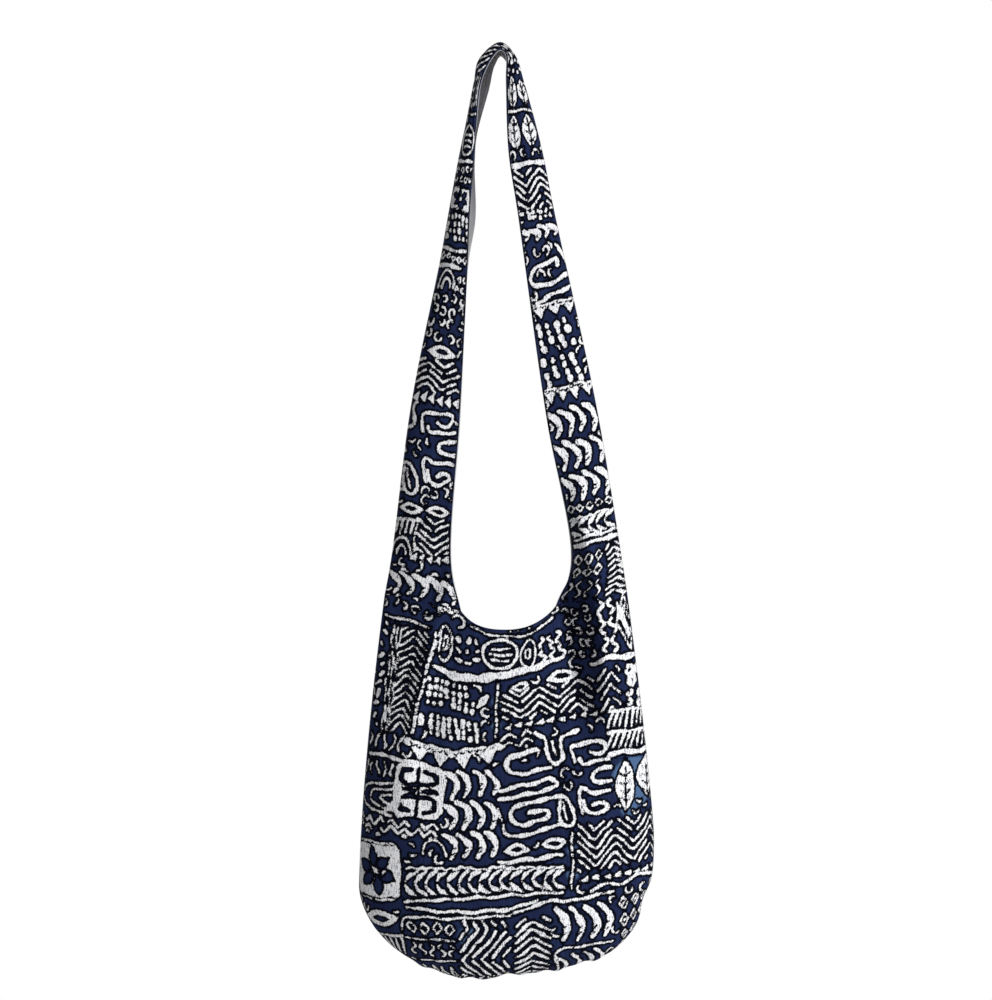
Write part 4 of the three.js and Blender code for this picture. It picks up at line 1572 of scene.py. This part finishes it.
def weave(start, pitch):
    """Height of a plain weave: the product of two sines, one across the warp and one across the weft."""
    uv = start.node("ShaderNodeUVMap", {"uv_map": "cloth"})
    place = start.node("ShaderNodeSeparateXYZ", None, {"Vector": uv})
    across = Value(start.tree, place.socket.node.outputs["X"])
    down = Value(start.tree, place.socket.node.outputs["Y"])
    turn = 2 * np.pi / pitch
    return uv, (across * turn).sine() * (down * turn).sine()


def streaks(start, uv, along, across, detail=3.0):
    """Noise stretched along the cloth: slubs of a given length and thickness, from 0 to 1."""
    stretched = start.node("ShaderNodeMapping", None, {"Vector": uv, "Scale": (1 / across, 1 / along, 1.0)})
    return start.node("ShaderNodeTexNoise", None, {"Vector": stretched, "Scale": 1.0, "Detail": detail})


def relief(start, height, strength, depth):
    """Surface direction tilted by a height: a bump of a given depth in metres."""
    return start.node("ShaderNodeBump", None, {"Height": height, "Strength": strength, "Distance": depth})


def speckle(start, uv, size, detail=2.0):
    """Even noise with grains of a given size in metres, from 0 to 1."""
    return start.node("ShaderNodeTexNoise", None, {"Vector": uv, "Scale": 1 / size, "Detail": detail})


# %% [markdown]
# ## The printed cotton
# The print is three dyes: indigo, a darker outline where the dye gathers beside the wax, and white where
# the wax kept the dye off. Noise frays the edges as a hand print does, and fine cracks in the white are
# where the wax broke. The outline colour also runs along the hems, as painted shade of their folded edges.

# %% Printed cotton material
WHITE = colour(250, 250, 252)
GROUND = colour(25, 32, 62)
GROUND_LIGHT = colour(44, 57, 96)
OUTLINE_AND_HEM_SHADE = colour(3, 4, 13)
DENIM = colour(78, 104, 142)
CRACK = colour(112, 117, 138)
OUTLINE_WIDTH = 2.4
EDGE_SHIFT = 0.15
EDGE_SOFTNESS = 0.4
GROUND_SOFTNESS = 0.7
FRAY_DEPTH = 2.8
FRAY_GRAIN = 0.0016
FRAY_LUMPS = 0.0045
CRACK_LEVEL = 0.505
CRACK_GAIN = 9


def printed_cotton():
    """White, outline and ground by the signed distance in the attribute, with frayed edges and cracks."""
    material, start, shader = new_material("printed_cotton_cloth")
    uv, threads = weave(start, CANVAS_PITCH)
    slub = streaks(start, uv, 0.030, 0.0011)
    fray = speckle(start, uv, FRAY_GRAIN)
    cloud = speckle(start, uv, 0.035)
    wax = start.node("ShaderNodeAttribute", {"attribute_name": "wax"}, None, "Fac")
    spot = start.node("ShaderNodeAttribute", {"attribute_name": "denim"}, None, "Fac")
    lumps = speckle(start, uv, FRAY_LUMPS)
    edge = wax + (fray - 0.5) * FRAY_DEPTH + (lumps - 0.5) * FRAY_DEPTH + EDGE_SHIFT
    white = (0.5 - edge / EDGE_SOFTNESS).clamped()
    ground = ((edge - OUTLINE_WIDTH) / GROUND_SOFTNESS).clamped()
    shade = (slub * 1.6 - 0.5 + (cloud - 0.5) * 0.8).clamped()
    indigo = shade.mix(GROUND, GROUND_LIGHT)
    indigo = (0.5 - (spot + (cloud - 0.5) * 6) / 4).clamped().mix(indigo, DENIM)
    scratch = streaks(start, uv, 0.007, 0.0013, 4.0)
    flake = speckle(start, uv, 0.0014, 4.0)
    flaw = ((scratch * 0.6 + flake * 0.4 - CRACK_LEVEL) * CRACK_GAIN).clamped()
    wax_white = flaw.mix(WHITE, CRACK)
    # The outline colour is print round the white marks, and along the hems it is painted shade of the folded
    # edge.
    paint = white.mix(ground.mix(OUTLINE_AND_HEM_SHADE, indigo), wax_white)
    rough = 0.82 + slub * 0.14
    height = threads * 0.35 + slub * 0.9 + fray * 0.4
    feed(start, shader, Base_Color=paint, Roughness=rough, Normal=relief(start, height, 0.5, 0.0004))
    shader.inputs["Specular IOR Level"].default_value = 0.04
    return material


cotton = printed_cotton()
print("printed cotton:", len(cotton.node_tree.nodes), "nodes")

# %% [markdown]
# ## The lining and the thread
# The lining is a plain grey cotton with a finer weave. The thread is a dark twisted cotton. Its twist is
# too small to model, so a wave on its own coordinates paints shade into the grooves of the twist and tilts
# the surface.

# %% Lining and thread materials
LINING_GREY = colour(172, 172, 176)
LINING_LIGHT = colour(198, 198, 201)
THREAD_SHADED = colour(14, 16, 32)
THREAD_LIT = colour(40, 46, 74)


def grey_lining():
    """Grey yarns: slubs and soft clouds between two greys, on a fine weave."""
    material, start, shader = new_material("grey_lining_cloth")
    uv, threads = weave(start, LINING_PITCH)
    slub = streaks(start, uv, 0.020, 0.0009)
    cloud = speckle(start, uv, 0.030)
    tone = (slub * 0.9 + cloud * 0.6 - 0.25).clamped()
    height = threads * 0.4 + slub * 0.8
    yarn = tone.mix(LINING_GREY, LINING_LIGHT)
    rough = 0.86 + slub * 0.1
    feed(start, shader, Base_Color=yarn, Roughness=rough, Normal=relief(start, height, 0.5, 0.0003))
    shader.inputs["Specular IOR Level"].default_value = 0.2
    return material


def sewing_thread():
    """Dark twisted cotton: diagonal bands of two dark blues, the darker one painted shade in the grooves of
    the twist.
    """
    material, start, shader = new_material("sewing_thread")
    place = start.node("ShaderNodeTexCoord", None, None, "Object")
    bands = {"Vector": place, "Scale": 900.0, "Distortion": 1.5}
    twist = start.node("ShaderNodeTexWave", {"bands_direction": "DIAGONAL"}, bands)
    fibre = speckle(start, place, 0.0006)
    # The wave paints shade between the plies of the twist: a shaded and a lit blue.
    tone = (twist * 0.7 + fibre * 0.4).clamped()
    yarn = tone.mix(THREAD_SHADED, THREAD_LIT)
    rough = 0.7 + fibre * 0.2
    feed(start, shader, Base_Color=yarn, Roughness=rough, Normal=relief(start, twist, 0.4, 0.0002))
    return material


lining_cloth = grey_lining()
thread = sewing_thread()
print("lining and thread:", len(lining_cloth.node_tree.nodes), "and", len(thread.node_tree.nodes), "nodes")

# %% [markdown]
# ## What each piece stands for
# Every piece rides on the bag's one body and takes its material. The CAD solids of the four cuts are hidden,
# and the table gives the area of each cut in square metres.

CUT_AREA = dict(front_panel=0.197, back_panel=0.187, front_lining=0.193, back_lining=0.183)

for key, piece in pieces.items():
    is_lining = key.endswith("lining")
    piece.data.materials.append(lining_cloth if is_lining else thread if key.endswith("stitches") else cotton)
    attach(piece, "root")
for key, area in CUT_AREA.items():
    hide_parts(key)
print("declared", len(pieces), "pieces")

# %% [markdown]
# ## Floor, light and background
# The bag hangs in the air in front of white. The floor is a pale disc below the picture, so that the light
# from below is that of a room. The key light is large and stands in front on the right, which leaves the
# left side and the hollow of the fold in soft shade. The world is white to the camera and in mirrored
# views, and dim to the bag.

# %% Studio
FLOOR_DROP = 1.46
FLOOR_RADIUS = 1.1
AMBIENT = 0.13


def disc(radius, level, rings=12, sides=96):
    """A flat disc: rings of points round the centre."""
    angle = 2 * np.pi * np.arange(sides) / sides
    r = np.linspace(0.02, radius, rings)[:, None]
    return np.stack([r * np.cos(angle), r * np.sin(angle), np.full((rings, sides), level)], -1)


rings = disc(FLOOR_RADIUS / MM, -FLOOR_DROP / MM)
index = np.arange(rings[..., 0].size).reshape(rings.shape[:2])
ahead = np.roll(index, -1, axis=1)
floor_quads = np.stack([index[:-1], index[1:], ahead[1:], ahead[:-1]], -1).reshape(-1, 4)
floor = add_mesh("floor", rings.reshape(-1, 3), [floor_quads, index[:1]])
floor_material, start, shader = new_material("floor_paper")
place = start.node("ShaderNodeTexCoord", None, None, "Object")
grain = speckle(start, place, 0.004)
feed(start, shader, Base_Color=grain.mix(colour(240, 240, 241), colour(246, 246, 246)))
floor.data.materials.append(floor_material)


def lamp(name, place, target, size, power):
    """A square soft light that looks at a target."""
    light = bpy.data.lights.new(name, "AREA")
    light.shape = "SQUARE"
    light.size = size
    light.energy = power
    made = bpy.data.objects.new(name, light)
    made.location = place
    way = np.array(target) - np.array(place)
    made.rotation_euler = (np.arctan2(np.hypot(way[0], way[1]), -way[2]), 0, np.arctan2(-way[0], way[1]))
    bpy.context.scene.collection.objects.link(made)


BAG_MIDDLE = (0.0, 0.0, -0.62)
STRAP_MIDDLE = (-0.1, 0.0, -0.35)
lamp("key", place=(2.0, -1.65, -0.1), target=BAG_MIDDLE, size=0.8, power=63)
lamp("fill", place=(-0.6, -2.5, 0.5), target=STRAP_MIDDLE, size=1.4, power=17)
lamp("rim", place=(-0.6, 2.2, 0.4), target=BAG_MIDDLE, size=1.6, power=40)

world = bpy.data.worlds.new("studio")
world.use_nodes = True
bpy.context.scene.world = world
start = Value(world.node_tree)
rays = start.node("ShaderNodeLightPath")
outputs = rays.socket.node.outputs
plain_view = Value(start.tree, outputs["Is Camera Ray"])
for ray in ("Is Glossy Ray", "Is Transmission Ray"):
    plain_view = plain_view + Value(start.tree, outputs[ray])
strength = plain_view.clamped() * (1 - AMBIENT) + AMBIENT
background = world.node_tree.nodes["Background"]
background.inputs["Color"].default_value = (1.0, 1.0, 1.0, 1.0)
world.node_tree.links.new(strength.socket, background.inputs["Strength"])
bpy.context.scene.view_settings.view_transform = "Standard"
